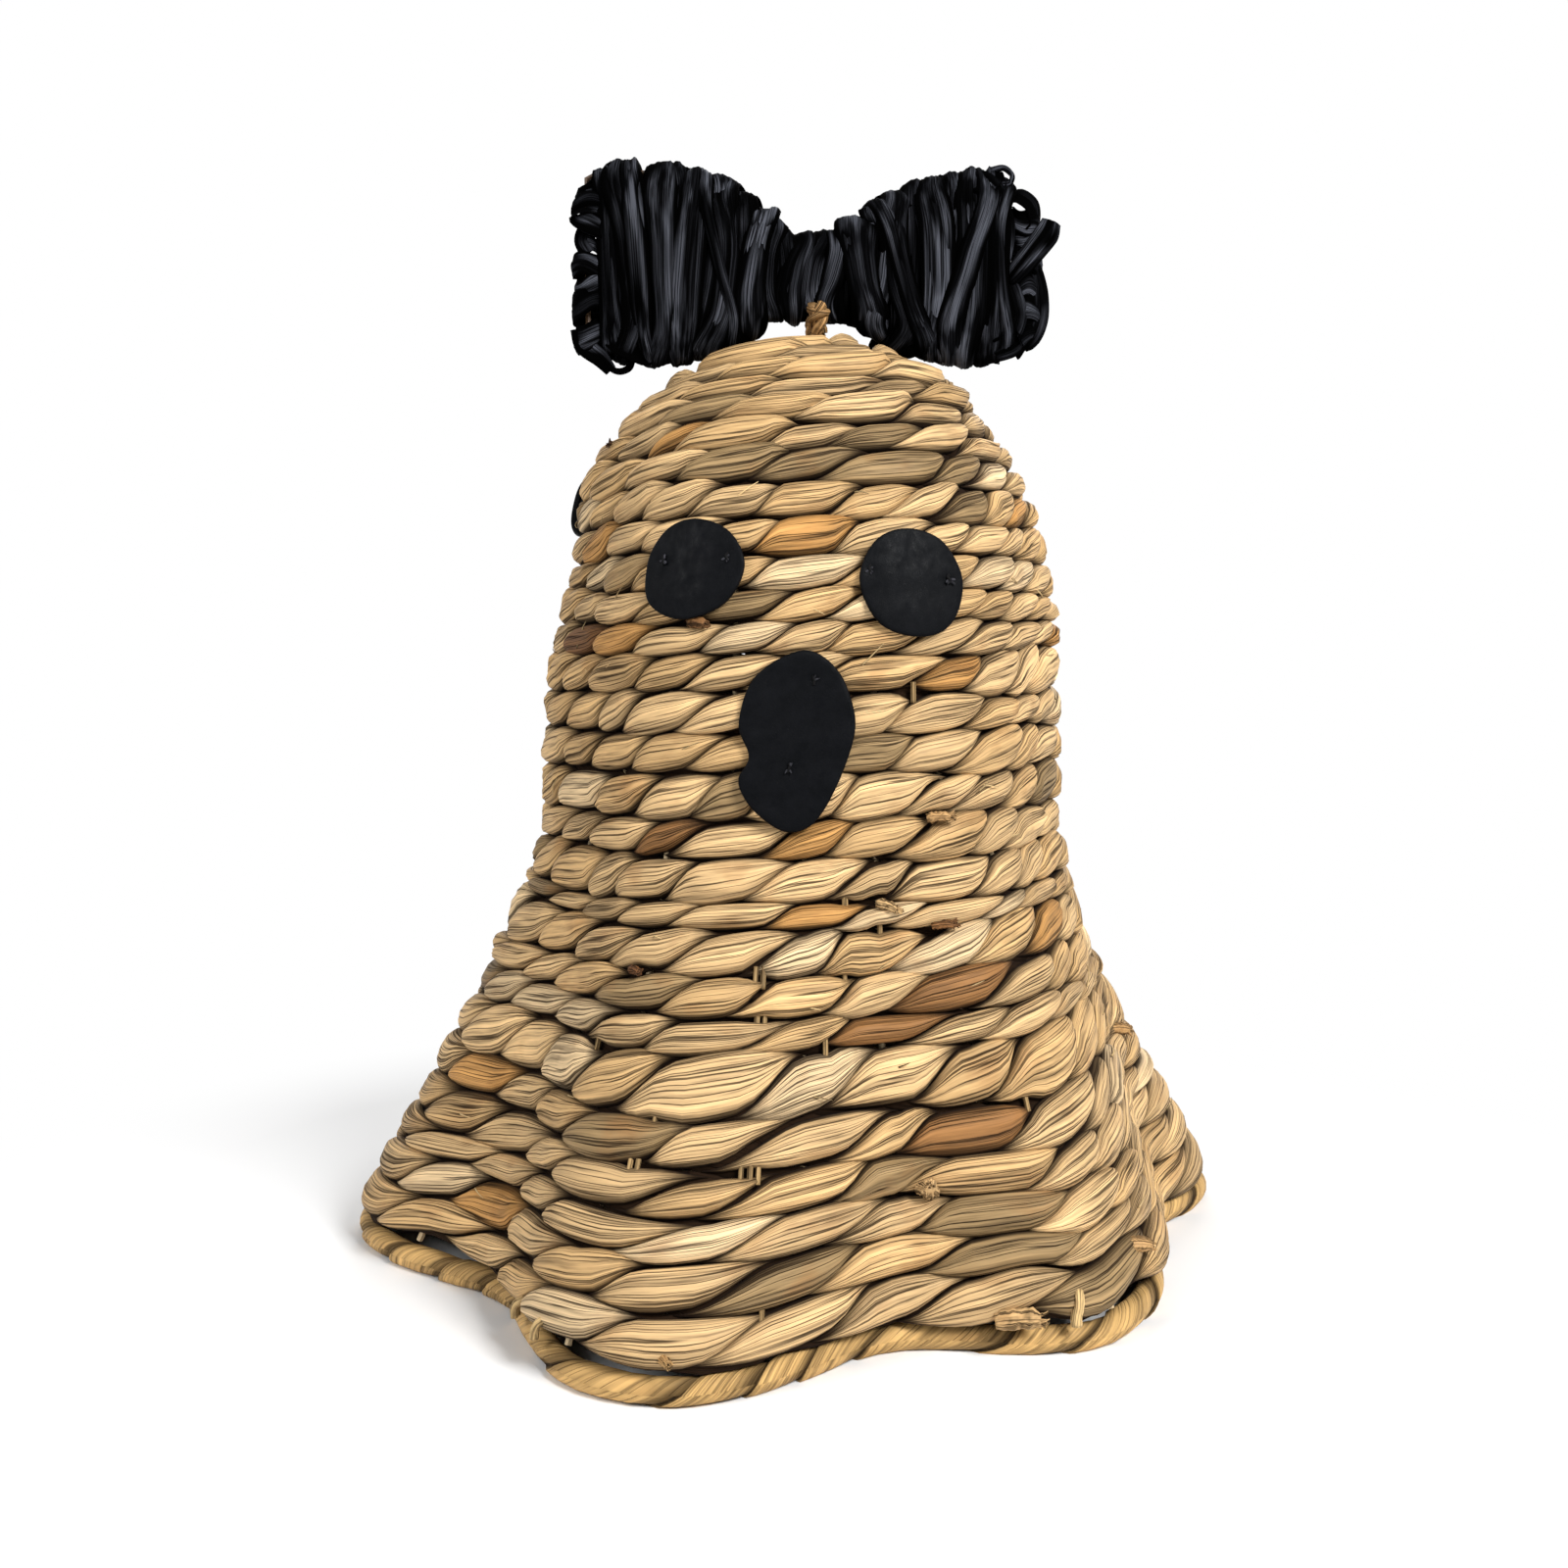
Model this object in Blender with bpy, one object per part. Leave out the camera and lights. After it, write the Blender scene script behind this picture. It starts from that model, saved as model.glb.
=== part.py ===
"""Woven ghost figurine: a twined leaf body on wire stakes, leather face and a raffia bow.

Metres, +Z up. The face looks along -Y and +X is on the viewer's right.
"""

import bisect
import math
import random

import bpy
from mathutils import Vector

# Clearance between pieces that touch, and the stakes of the frame
CLEAR = 0.0003
STAKE_COUNT = 24
STAKE_RADIUS = 0.0011

# Body profile on the middle of the woven wall
DOME_TOP_Z = 0.293
SHOULDER_Z = 0.190
HEAD_RADIUS = 0.077
HEAD_TAPER = 0.035
DOME_POWER = 2.2
FLARE_TOP_Z = 0.138
FLARE_POWER = 1.15

# Section of the head: a soft hexagon, turned a little, whose top leans sideways
FACET = 0.027
FACET_TURN = 3.0
LEAN = 0.004
LEAN_Z = 0.240

# Dent in the left side of the head, beside the left eye: depth, place, half width, half height
DENT = 0.0055
DENT_AZIMUTH = -88.0
DENT_Z = 0.221
DENT_SPREAD = 38.0
DENT_REACH = 0.022

# Hem outline: furthest reach, then each turn's azimuth from the front towards +X and its share
HEM_REACH = 0.154
HEM_TURNS = (
    (-96, 0.9545), (-56, 0.6948), (-20, 0.8766), (15, 0.6201),
    (45, 0.7987), (86, 0.7273), (112, 1.0), (142, 0.7338),
    (172, 0.8442), (195, 0.7143), (218, 0.8636), (240, 0.7338),
)
HOOP_HEIGHT = 0.008
HOOP_STEPS = 72
HOOP_SIDES = 8

# Weave: row pitch, leaf crests and grooves measured out from the middle of the wall
ROW_PITCH = 0.0114
ROW_STEPS = 2
TOP_CAP_RADIUS = 0.012
LEAF_CREST = 0.0050
SEAM_RISE = 0.0028
ROW_GROOVE = 0.0020
SEAM_GROOVE = 0.0013
INNER_FACE = 0.0045
FLUTE_ROOF = 0.0004
FLUTE_ROW_STEP = 2
STAKE_FOOT_ROW = 0.15
STAKE_TOP_GAP_ROWS = 1.1
GAP_COUNT = 40
GAP_WIDTH = 0.0052
GAP_HEIGHT = 0.0030
GAP_TOP_ROW = 20
GAP_SEED = 7

# Leather patches: outlines in metres about each patch's middle, x to the right and z up
PATCH_THICKNESS = 0.0018
PATCH_STEPS = 24
LEFT_EYE_AZIMUTH = -23.0
LEFT_EYE_Z = 0.2190
LEFT_EYE_OUTLINE = (
    (-0.0003, 0.0141), (0.0095, 0.0103), (0.0142, 0.0010), (0.0092, -0.0094),
    (-0.0021, -0.0138), (-0.0122, -0.0094), (-0.0139, 0.0015), (-0.0092, 0.0110),
)
RIGHT_EYE_AZIMUTH = 22.0
RIGHT_EYE_Z = 0.2155
RIGHT_EYE_OUTLINE = (
    (-0.0003, 0.0148), (0.0102, 0.0112), (0.0149, 0.0), (0.0105, -0.0115),
    (0.0012, -0.0149), (-0.0095, -0.0110), (-0.0148, 0.0005), (-0.0100, 0.0110),
)
MOUTH_AZIMUTH = -1.8
MOUTH_Z = 0.1712
MOUTH_OUTLINE = (
    (0.0014, 0.0259), (0.0115, 0.0212), (0.0166, 0.0110), (0.0171, 0.0015),
    (0.0115, -0.0130), (0.0045, -0.0230), (-0.0040, -0.0252), (-0.0130, -0.0190),
    (-0.0170, -0.0110), (-0.0142, -0.0039), (-0.0170, 0.0055), (-0.0122, 0.0190),
)
SIDE_PATCH_AZIMUTH = -98.0
SIDE_PATCH_Z = 0.2430
SIDE_PATCH_RADIUS = 0.0095
STITCH_RADIUS = 0.0005
STITCH_LENGTH = 0.0040

# Stitches of each patch: middles about the patch's middle, and tilt in degrees
LEFT_EYE_STITCHES = ((-0.0083, 0.0024), (0.0092, 0.0030))
LEFT_EYE_TILT = 0.0
RIGHT_EYE_STITCHES = ((-0.0118, 0.0033), (0.0104, 0.0008))
RIGHT_EYE_TILT = 8.0
MOUTH_STITCHES = ((0.0047, 0.0173), (-0.0028, -0.0072))
MOUTH_TILT = 40.0
SIDE_PATCH_STITCHES = ((-0.0050, 0.0), (0.0050, 0.0))
SIDE_PATCH_TILT = 0.0
SIDE_PATCH_TURNS = 8

# Bow: wire loop inside wrapped sleeves. At each station x, and low and high edge above the dome
WIRE_RADIUS = 0.0011
WRAP_WALL = 0.0014
WRAP_DEPTH = 0.012
WRAP_RIPPLE = 0.0004
WRAP_PITCH = 0.0060
WRAP_SIDES = 12
WRAP_BLUNTNESS = 0.7
WIRE_ROOM = 1.8
BOW_Y = 0.0
LEFT_WING = (
    (-0.0650, -0.0005, 0.0615), (-0.0410, -0.0025, 0.0610), (-0.0300, -0.0005, 0.0570),
    (-0.0200, 0.0060, 0.0530), (-0.0110, 0.0130, 0.0440),
)
KNOT_WRAP = ((-0.0107, 0.0130, 0.0400), (0.0020, 0.0120, 0.0395), (0.0137, 0.0125, 0.0400))
RIGHT_WING = (
    (0.0140, 0.0090, 0.0440), (0.0230, 0.0070, 0.0470), (0.0290, 0.0030, 0.0520),
    (0.0400, 0.0005, 0.0560), (0.0560, -0.0020, 0.0585), (0.0690, -0.0015, 0.0550),
)
LEFT_BAR_X = -0.0692
RIGHT_BAR_X = 0.0730
BINDING_RADIUS = 0.0034
BINDING_RIPPLE = 0.0004
BINDING_PITCH = 0.0060
BINDING_SIDES = 10
BINDING_SETBACK = 0.0015
LOOP_RADIUS = 0.0052
LOOP_X = -0.0590
LOOP_STRAND = 0.0013
LOOP_STEPS = 11
STRIP_WIDTH = 0.0088
STRIP_THICKNESS = 0.0009
STRIP_ROUTE = ((0.0738, 0.0230), (0.0760, 0.0292), (0.0783, 0.0350), (0.0808, 0.0405))
STRIP_LIFT = 0.0006

# Cord that ties the bow to the top of the head
TIE_X = 0.0041
TIE_RADIUS = 0.0033
TIE_SIDES = 12
TIE_SHAPE = ((0.0, 0.85), (0.35, 0.9), (0.6, 1.1), (0.8, 1.1), (1.0, 0.8))

# Steps along the straight and the domed part of the profile, and the angle of a sharp edge
CONE_STEPS = 40
DOME_STEPS = 240
SHARP_ANGLE = 40.0


def above_dome(stations):
    """Stations of the bow with their edges measured from the ground."""
    return tuple((x, DOME_TOP_Z + low, DOME_TOP_Z + high) for x, low, high in stations)


LEFT_STATIONS = above_dome(LEFT_WING)
KNOT_STATIONS = above_dome(KNOT_WRAP)
RIGHT_STATIONS = above_dome(RIGHT_WING)


def make_material(name, colour, roughness, metallic=0.0):
    material = bpy.data.materials.new(name)
    material.use_nodes = True
    shader = material.node_tree.nodes["Principled BSDF"]
    shader.inputs["Base Color"].default_value = (*colour, 1.0)
    shader.inputs["Roughness"].default_value = roughness
    shader.inputs["Metallic"].default_value = metallic
    return material


def add_object(name, data, material, root):
    obj = bpy.data.objects.new(name, data)
    bpy.context.scene.collection.objects.link(obj)
    obj.parent = root
    if material is not None:
        data.materials.append(material)
    return obj


def add_mesh(name, points, faces, material, root):
    mesh = bpy.data.meshes.new(name)
    mesh.from_pydata(points, [], faces)
    mesh.update()
    mesh.shade_smooth()
    mesh.set_sharp_from_angle(angle=math.radians(SHARP_ANGLE))
    return add_object(name, mesh, material, root)


def add_tube(name, points, radius, resolution, material, root, cyclic=False):
    curve = bpy.data.curves.new(name, "CURVE")
    curve.dimensions = "3D"
    curve.bevel_depth = radius
    curve.bevel_resolution = resolution
    curve.use_fill_caps = True
    spline = curve.splines.new("POLY")
    spline.points.add(len(points) - 1)
    for target, point in zip(spline.points, points):
        target.co = (*point, 1.0)
    spline.use_cyclic_u = cyclic
    return add_object(name, curve, material, root)


def bridge_rings(first, second, count):
    """Quads between two closed rings of vertices that start at these indices."""
    return [
        (first + i, first + (i + 1) % count, second + (i + 1) % count, second + i)
        for i in range(count)
    ]


def smooth_closed(points, count):
    """Points at equal parameter steps on a closed Catmull-Rom curve through these points."""
    total = len(points)
    result = []
    for step in range(count):
        place = step * total / count
        i = int(place)
        t = place - i
        p0, p1, p2, p3 = (Vector(points[(i + k) % total]) for k in (-1, 0, 1, 2))
        result.append(
            0.5 * (2 * p1 + (p2 - p0) * t + (2 * p0 - 5 * p1 + 4 * p2 - p3) * t * t
                   + (3 * p1 - p0 - 3 * p2 + p3) * t ** 3)
        )
    return result


def build_meridian():
    """Arc length, mean radius and height from the hem to the top of the dome."""
    samples = []
    hem_z = HOOP_HEIGHT + CLEAR
    for i in range(CONE_STEPS):
        z = hem_z + (SHOULDER_Z - hem_z) * i / CONE_STEPS
        samples.append((HEAD_RADIUS + HEAD_TAPER * (SHOULDER_Z - z), z))
    for i in range(DOME_STEPS + 1):
        angle = math.pi / 2 * i / DOME_STEPS
        radius = HEAD_RADIUS * max(math.cos(angle), 0.0) ** (2 / DOME_POWER)
        height = (DOME_TOP_Z - SHOULDER_Z) * math.sin(angle) ** (2 / DOME_POWER)
        samples.append((radius, SHOULDER_Z + height))
    lengths = [0.0]
    for (r0, z0), (r1, z1) in zip(samples, samples[1:]):
        lengths.append(lengths[-1] + math.hypot(r1 - r0, z1 - z0))
    return lengths, samples


LENGTHS, PROFILE = build_meridian()
ROWS = int((LENGTHS[-1] - TOP_CAP_RADIUS) / ROW_PITCH)


def profile_at(row):
    """Mean radius and height of the wall's middle at a row, which may be a fraction."""
    length = min(max(row * ROW_PITCH, 0.0), LENGTHS[-1])
    i = min(max(bisect.bisect_right(LENGTHS, length) - 1, 0), len(LENGTHS) - 2)
    t = (length - LENGTHS[i]) / (LENGTHS[i + 1] - LENGTHS[i])
    (r0, z0), (r1, z1) = PROFILE[i], PROFILE[i + 1]
    return r0 + (r1 - r0) * t, z0 + (z1 - z0) * t


def row_at_height(z):
    low, high = 0.0, float(ROWS)
    for _ in range(40):
        middle = (low + high) / 2
        if profile_at(middle)[1] < z:
            low = middle
        else:
            high = middle
    return low


def hem_radius(azimuth):
    """Hem radius at an azimuth in degrees, eased from each turn of the outline to the next."""
    azimuth = (azimuth - HEM_TURNS[0][0]) % 360 + HEM_TURNS[0][0]
    turns = HEM_TURNS + ((HEM_TURNS[0][0] + 360, HEM_TURNS[0][1]),)
    for (a0, r0), (a1, r1) in zip(turns, turns[1:]):
        if a0 <= azimuth <= a1:
            t = (azimuth - a0) / (a1 - a0)
            return HEM_REACH * (r0 + (r1 - r0) * (1 - math.cos(math.pi * t)) / 2)
    return HEM_REACH * HEM_TURNS[0][1]


def middle_point(azimuth, row):
    """Point on the middle of the woven wall."""
    mean, z = profile_at(row)
    facet = 1 - FACET * min(1.0, mean / HEAD_RADIUS) * math.cos(
        math.radians(6 * (azimuth - FACET_TURN)))
    flare = max(0.0, (FLARE_TOP_Z - z) / FLARE_TOP_Z) ** FLARE_POWER
    radius = mean * facet
    radius += flare * (hem_radius(azimuth) - HEAD_RADIUS * facet)
    aside = ((azimuth - DENT_AZIMUTH + 180) % 360 - 180) / DENT_SPREAD
    radius -= DENT * math.exp(-aside ** 2 - ((z - DENT_Z) / DENT_REACH) ** 2)
    lean = LEAN * max(0.0, (z - LEAN_Z) / (DOME_TOP_Z - LEAN_Z)) ** 2
    turn = math.radians(azimuth)
    return Vector((lean + radius * math.sin(turn), -radius * math.cos(turn), z))


def wall_normal(azimuth, row):
    """Outward direction, level at the rim so that the rim lies flat on the hoop."""
    across = middle_point(azimuth + 1.0, row) - middle_point(azimuth - 1.0, row)
    upward = middle_point(azimuth, row + 0.05) - middle_point(azimuth, row - 0.05)
    normal = across.cross(upward)
    normal.z *= min(row, 1.0)
    return normal.normalized()


def wall_point(azimuth, row, offset):
    """Point at a distance out from the middle of the wall."""
    return middle_point(azimuth, row) + wall_normal(azimuth, row) * offset


STAKE_STEP = 360 / STAKE_COUNT
COLUMNS = 2 * STAKE_COUNT
INNER_ROWS = [*range(0, ROWS - 1, FLUTE_ROW_STEP), ROWS - 1, ROWS]


def leaf_offset(column, step):
    """Height of the outer face: each slanted leaf is a crest between two seams."""
    on_seam = column % 2 == 0
    if step % ROW_STEPS == 0:
        return SEAM_GROOVE if on_seam else ROW_GROOVE
    return SEAM_RISE if on_seam else LEAF_CREST


def build_wall(material, root):
    """Woven shell: slanted leaves outside, one flute for each stake inside."""
    points = []
    faces = []
    outer_rings = []
    for step in range(ROWS * ROW_STEPS + 1):
        outer_rings.append(len(points))
        row = step / ROW_STEPS
        for column in range(COLUMNS):
            azimuth = (column / 2 + row) * STAKE_STEP
            points.append(wall_point(azimuth, row, leaf_offset(column, step)))
    inner_rings = []
    for row in INNER_ROWS:
        inner_rings.append(len(points))
        for column in range(COLUMNS):
            azimuth = column / 2 * STAKE_STEP
            fluted = column % 2 == 0 and row < ROWS
            points.append(wall_point(azimuth, row, -FLUTE_ROOF if fluted else -INNER_FACE))
    for low, high in zip(outer_rings, outer_rings[1:]):
        faces += bridge_rings(low, high, COLUMNS)
    for low, high in zip(inner_rings, inner_rings[1:]):
        faces += [face[::-1] for face in bridge_rings(low, high, COLUMNS)]
    faces += bridge_rings(inner_rings[0], outer_rings[0], COLUMNS)
    for ring, offset, outward in ((outer_rings[-1], ROW_GROOVE, True),
                                  (inner_rings[-1], -INNER_FACE, False)):
        tip = len(points)
        points.append(Vector((LEAN, 0.0, DOME_TOP_Z + offset)))
        for i in range(COLUMNS):
            face = (ring + i, ring + (i + 1) % COLUMNS, tip)
            faces.append(face if outward else face[::-1])
    wall = add_mesh("woven_wall", points, faces, material, root)
    cutter = build_gap_cutter(root)
    cut = wall.modifiers.new("gaps", "BOOLEAN")
    cut.operation = "DIFFERENCE"
    cut.solver = "EXACT"
    cut.object = cutter
    return wall


def build_gap_cutter(root):
    """Small openings between rows, each beside the foot of a seam."""
    chooser = random.Random(GAP_SEED)
    places = [(row, stake) for row in range(2, GAP_TOP_ROW) for stake in range(STAKE_COUNT)]
    points = []
    faces = []
    for row, stake in chooser.sample(places, GAP_COUNT):
        azimuth = stake * STAKE_STEP
        normal = wall_normal(azimuth, row)
        centre = middle_point(azimuth, row) + normal * (LEAF_CREST - INNER_FACE) / 2
        across = Vector((0, 0, 1)).cross(normal).normalized()
        upward = normal.cross(across)
        reach = normal * (LEAF_CREST + INNER_FACE)
        start = len(points)
        for side in (-1, 1):
            points.append(centre + side * reach + across * GAP_WIDTH / 2)
            points.append(centre + side * reach + upward * GAP_HEIGHT / 2)
            points.append(centre + side * reach - across * GAP_WIDTH / 2)
            points.append(centre + side * reach - upward * GAP_HEIGHT / 2)
        faces += bridge_rings(start, start + 4, 4)
        faces.append((start + 3, start + 2, start + 1, start))
        faces.append((start + 4, start + 5, start + 6, start + 7))
    cutter = add_mesh("gap_cutter", points, faces, None, root)
    cutter.hide_render = True
    cutter.display_type = "WIRE"
    return cutter


def build_stakes(material, root):
    """Wire stakes in the flutes, from the hoop to the top of the head."""
    rows = [STAKE_FOOT_ROW, *INNER_ROWS[1:-2], ROWS - STAKE_TOP_GAP_ROWS]
    for stake in range(STAKE_COUNT):
        azimuth = stake * STAKE_STEP
        points = []
        for row in rows:
            roof = wall_point(azimuth, row, -FLUTE_ROOF)
            side = wall_point(azimuth + STAKE_STEP / 2, row, -INNER_FACE)
            slope = math.atan2(INNER_FACE - FLUTE_ROOF, (side - roof).length)
            depth = FLUTE_ROOF + (STAKE_RADIUS + CLEAR) / math.cos(slope) + CLEAR
            points.append(wall_point(azimuth, row, -depth))
        add_tube(f"stake_{stake + 1:02d}", points, STAKE_RADIUS, 1, material, root)


def build_hoop(material, root):
    """Wrapped hem hoop with a flat underside."""
    points = []
    faces = []
    half = HOOP_HEIGHT / 2
    corner = half / math.cos(math.pi / HOOP_SIDES)
    for step in range(HOOP_STEPS):
        azimuth = step * 360 / HOOP_STEPS
        turn = math.radians(azimuth)
        before, after = (
            Vector((math.sin(math.radians(a)), -math.cos(math.radians(a)), 0)) * hem_radius(a)
            for a in (azimuth - 1, azimuth + 1)
        )
        outward = (after - before).cross(Vector((0, 0, 1))).normalized()
        centre = Vector((math.sin(turn), -math.cos(turn), 0)) * hem_radius(azimuth)
        for side in range(HOOP_SIDES):
            angle = math.tau * (side + 0.5) / HOOP_SIDES - math.pi / 2
            height = half + corner * math.sin(angle)
            points.append(centre + outward * corner * math.cos(angle) + Vector((0, 0, height)))
    for step in range(HOOP_STEPS):
        following = (step + 1) % HOOP_STEPS
        for side in range(HOOP_SIDES):
            other = (side + 1) % HOOP_SIDES
            faces.append((
                step * HOOP_SIDES + side, following * HOOP_SIDES + side,
                following * HOOP_SIDES + other, step * HOOP_SIDES + other,
            ))
    return add_mesh("hem_hoop", points, faces, material, root)


def build_patch(name, azimuth, z, outline, material, root):
    """Leather patch that follows the wall just outside the leaf crests."""
    row = row_at_height(z)
    middle = middle_point(azimuth, row) - middle_point(azimuth, row).project(Vector((0, 0, 1)))
    edge = smooth_closed(outline, PATCH_STEPS)

    def place(x, height, lift):
        side = azimuth + math.degrees(x / (middle.length + LEAF_CREST))
        return wall_point(side, row + height / ROW_PITCH, LEAF_CREST + CLEAR + lift)

    points = []
    faces = []
    for lift in (PATCH_THICKNESS, 0.0):
        for scale in (1.0, 0.5):
            points += [place(p.x * scale, p.y * scale, lift) for p in edge]
        points.append(place(0.0, 0.0, lift))
    layer = 2 * PATCH_STEPS + 1
    for start, front in ((0, True), (layer, False)):
        inner = start + PATCH_STEPS
        skin = bridge_rings(start, inner, PATCH_STEPS)
        skin += [
            (inner + i, inner + (i + 1) % PATCH_STEPS, start + layer - 1)
            for i in range(PATCH_STEPS)
        ]
        faces += [face[::-1] if front else face for face in skin]
    faces += bridge_rings(0, layer, PATCH_STEPS)
    add_mesh(name, points, faces, material, root)
    return place


def build_stitches(name, places, tilt, place, material, root):
    """Short thread bars that hold a patch, one at each of these places on it."""
    reach = STITCH_LENGTH / 2
    lift = PATCH_THICKNESS + CLEAR + STITCH_RADIUS
    turn = math.radians(tilt)
    for number, (x, z) in enumerate(places, 1):
        ends = [
            place(x + side * reach * math.sin(turn), z + side * reach * math.cos(turn), lift)
            for side in (-1, 1)
        ]
        add_tube(f"{name}_stitch_{number}", ends, STITCH_RADIUS, 1, material, root)


def station_edges(stations, x):
    """Low and high edge of a wrapped sleeve at x, on straight lines between its stations."""
    for (x0, low0, high0), (x1, low1, high1) in zip(stations, stations[1:]):
        if x <= x1:
            t = (x - x0) / (x1 - x0)
            return low0 + (low1 - low0) * t, high0 + (high1 - high0) * t
    return stations[-1][1:]


def section_ring(x, low, high, half_depth):
    """Closed section of a sleeve, a flat oval with blunt ends."""
    ring = []
    for side in range(WRAP_SIDES):
        angle = math.tau * side / WRAP_SIDES
        c, s = math.cos(angle), math.sin(angle)
        y = math.copysign(abs(c) ** WRAP_BLUNTNESS, c) * half_depth
        z = math.copysign(abs(s) ** WRAP_BLUNTNESS, s) * (high - low) / 2
        ring.append(Vector((x, BOW_Y + y, (low + high) / 2 + z)))
    return ring


def build_sleeve(name, stations, material, root):
    """Hollow wrap of raffia turns around the bow's wire."""
    start, end = stations[0][0], stations[-1][0]
    count = max(2, round((end - start) / WRAP_PITCH) * 2)
    points = []
    for inset in (0.0, WRAP_WALL):
        for step in range(count + 1):
            x = start + (end - start) * step / count
            low, high = station_edges(stations, x)
            sink = inset + (WRAP_RIPPLE if step % 2 == 0 and inset == 0.0 else 0.0)
            sink += WRAP_RIPPLE if inset > 0.0 else 0.0
            points += section_ring(x, low + sink, high - sink, WRAP_DEPTH / 2 - sink)
    layer = (count + 1) * WRAP_SIDES
    faces = []
    for step in range(count):
        low = step * WRAP_SIDES
        faces += bridge_rings(low, low + WRAP_SIDES, WRAP_SIDES)
        inner = bridge_rings(layer + low, layer + low + WRAP_SIDES, WRAP_SIDES)
        faces += [face[::-1] for face in inner]
    faces += bridge_rings(layer, 0, WRAP_SIDES)
    faces += bridge_rings(count * WRAP_SIDES, layer + count * WRAP_SIDES, WRAP_SIDES)
    return add_mesh(name, points, faces, material, root)


def wire_inset():
    """Distance from a sleeve's edge to the middle of the wire inside it."""
    return 2 * WRAP_RIPPLE + WRAP_WALL + (CLEAR + WIRE_RADIUS) * WIRE_ROOM


def bar_span(station):
    """Low and high corner of the bare wire beside a wing's outer station."""
    _, low, high = station
    return low + wire_inset() + 2 * WIRE_RADIUS, high - wire_inset() - 2 * WIRE_RADIUS


def build_bow_frame(material, root):
    """One closed loop of wire that runs inside the sleeves and bare round both ends."""
    stations = (*LEFT_STATIONS[:-1], *KNOT_STATIONS, *RIGHT_STATIONS[1:])
    upper = [(x, BOW_Y, high - wire_inset()) for x, _, high in stations]
    lower = [(x, BOW_Y, low + wire_inset()) for x, low, _ in reversed(stations)]
    right = [(RIGHT_BAR_X, BOW_Y, z) for z in reversed(bar_span(RIGHT_STATIONS[-1]))]
    left = [(LEFT_BAR_X, BOW_Y, z) for z in bar_span(LEFT_STATIONS[0])]
    route = [*upper, *right, *lower, *left]
    return add_tube("bow_frame", route, WIRE_RADIUS, 1, material, root, cyclic=True)


def build_binding(name, x, station, material, root):
    """Strand wound round the bare end of the wire, as a ribbed hollow tube."""
    low, high = bar_span(station)
    low += BINDING_SETBACK
    high -= BINDING_SETBACK
    count = round((high - low) / BINDING_PITCH) * 2
    bore = WIRE_RADIUS + CLEAR
    points = []
    for hollow in (False, True):
        for step in range(count + 1):
            z = low + (high - low) * step / count
            dip = BINDING_RIPPLE if step % 2 == 0 else 0.0
            radius = bore if hollow else BINDING_RADIUS - dip
            for side in range(BINDING_SIDES):
                angle = math.tau * side / BINDING_SIDES
                across = Vector((math.cos(angle), math.sin(angle), 0.0)) * radius
                points.append(Vector((x, BOW_Y, z)) + across)
    layer = (count + 1) * BINDING_SIDES
    faces = []
    for step in range(count):
        ring = step * BINDING_SIDES
        faces += bridge_rings(ring, ring + BINDING_SIDES, BINDING_SIDES)
        inner = bridge_rings(layer + ring, layer + ring + BINDING_SIDES, BINDING_SIDES)
        faces += [face[::-1] for face in inner]
    faces += bridge_rings(layer, 0, BINDING_SIDES)
    faces += bridge_rings(count * BINDING_SIDES, layer + count * BINDING_SIDES, BINDING_SIDES)
    return add_mesh(name, points, faces, material, root)


def build_strand_end(material, root):
    """Loose flat end of a strand that sticks out in front of the right end."""
    near = BOW_Y - BINDING_RADIUS - CLEAR
    along = Vector((STRIP_ROUTE[-1][0] - STRIP_ROUTE[0][0], 0,
                    STRIP_ROUTE[-1][1] - STRIP_ROUTE[0][1])).normalized()
    across = Vector((along.z, 0, -along.x)) * STRIP_WIDTH / 2
    points = []
    for step, (x, height) in enumerate(STRIP_ROUTE):
        y = near - STRIP_LIFT * step
        back = Vector((x, y, DOME_TOP_Z + height))
        front = back - Vector((0, STRIP_THICKNESS, 0))
        points += [back + across, back - across, front - across, front + across]
    faces = []
    for step in range(len(STRIP_ROUTE) - 1):
        faces += bridge_rings(step * 4, step * 4 + 4, 4)
    last = 4 * (len(STRIP_ROUTE) - 1)
    faces.append((3, 2, 1, 0))
    faces.append((last, last + 1, last + 2, last + 3))
    return add_mesh("bow_strand_end", points, faces, material, root)


def build_loop(material, root):
    """Small loop of strand that hangs under the left wing."""
    low, _ = station_edges(LEFT_STATIONS, LOOP_X)
    top = low - CLEAR
    route = []
    for step in range(LOOP_STEPS):
        angle = math.pi + math.pi * step / (LOOP_STEPS - 1)
        route.append((LOOP_X + LOOP_RADIUS * math.cos(angle), BOW_Y,
                      top + LOOP_RADIUS * math.sin(angle)))
    return add_tube("bow_loop", route, LOOP_STRAND, 1, material, root)


def build_tie(material, root):
    """Cord from the top of the head to the underside of the bow, with a bulge for its knot."""
    low = DOME_TOP_Z + ROW_GROOVE + CLEAR
    high = min(station[1] for station in KNOT_STATIONS) - CLEAR
    points = []
    for share, scale in TIE_SHAPE:
        for side in range(TIE_SIDES):
            angle = math.tau * side / TIE_SIDES
            across = Vector((math.cos(angle), math.sin(angle), 0.0)) * TIE_RADIUS * scale
            points.append(Vector((TIE_X, BOW_Y, low + (high - low) * share)) + across)
    faces = [tuple(range(TIE_SIDES))[::-1]]
    for step in range(len(TIE_SHAPE) - 1):
        faces += bridge_rings(step * TIE_SIDES, (step + 1) * TIE_SIDES, TIE_SIDES)
    top = (len(TIE_SHAPE) - 1) * TIE_SIDES
    faces.append(tuple(range(top, top + TIE_SIDES)))
    return add_mesh("tie_cord", points, faces, material, root)


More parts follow.
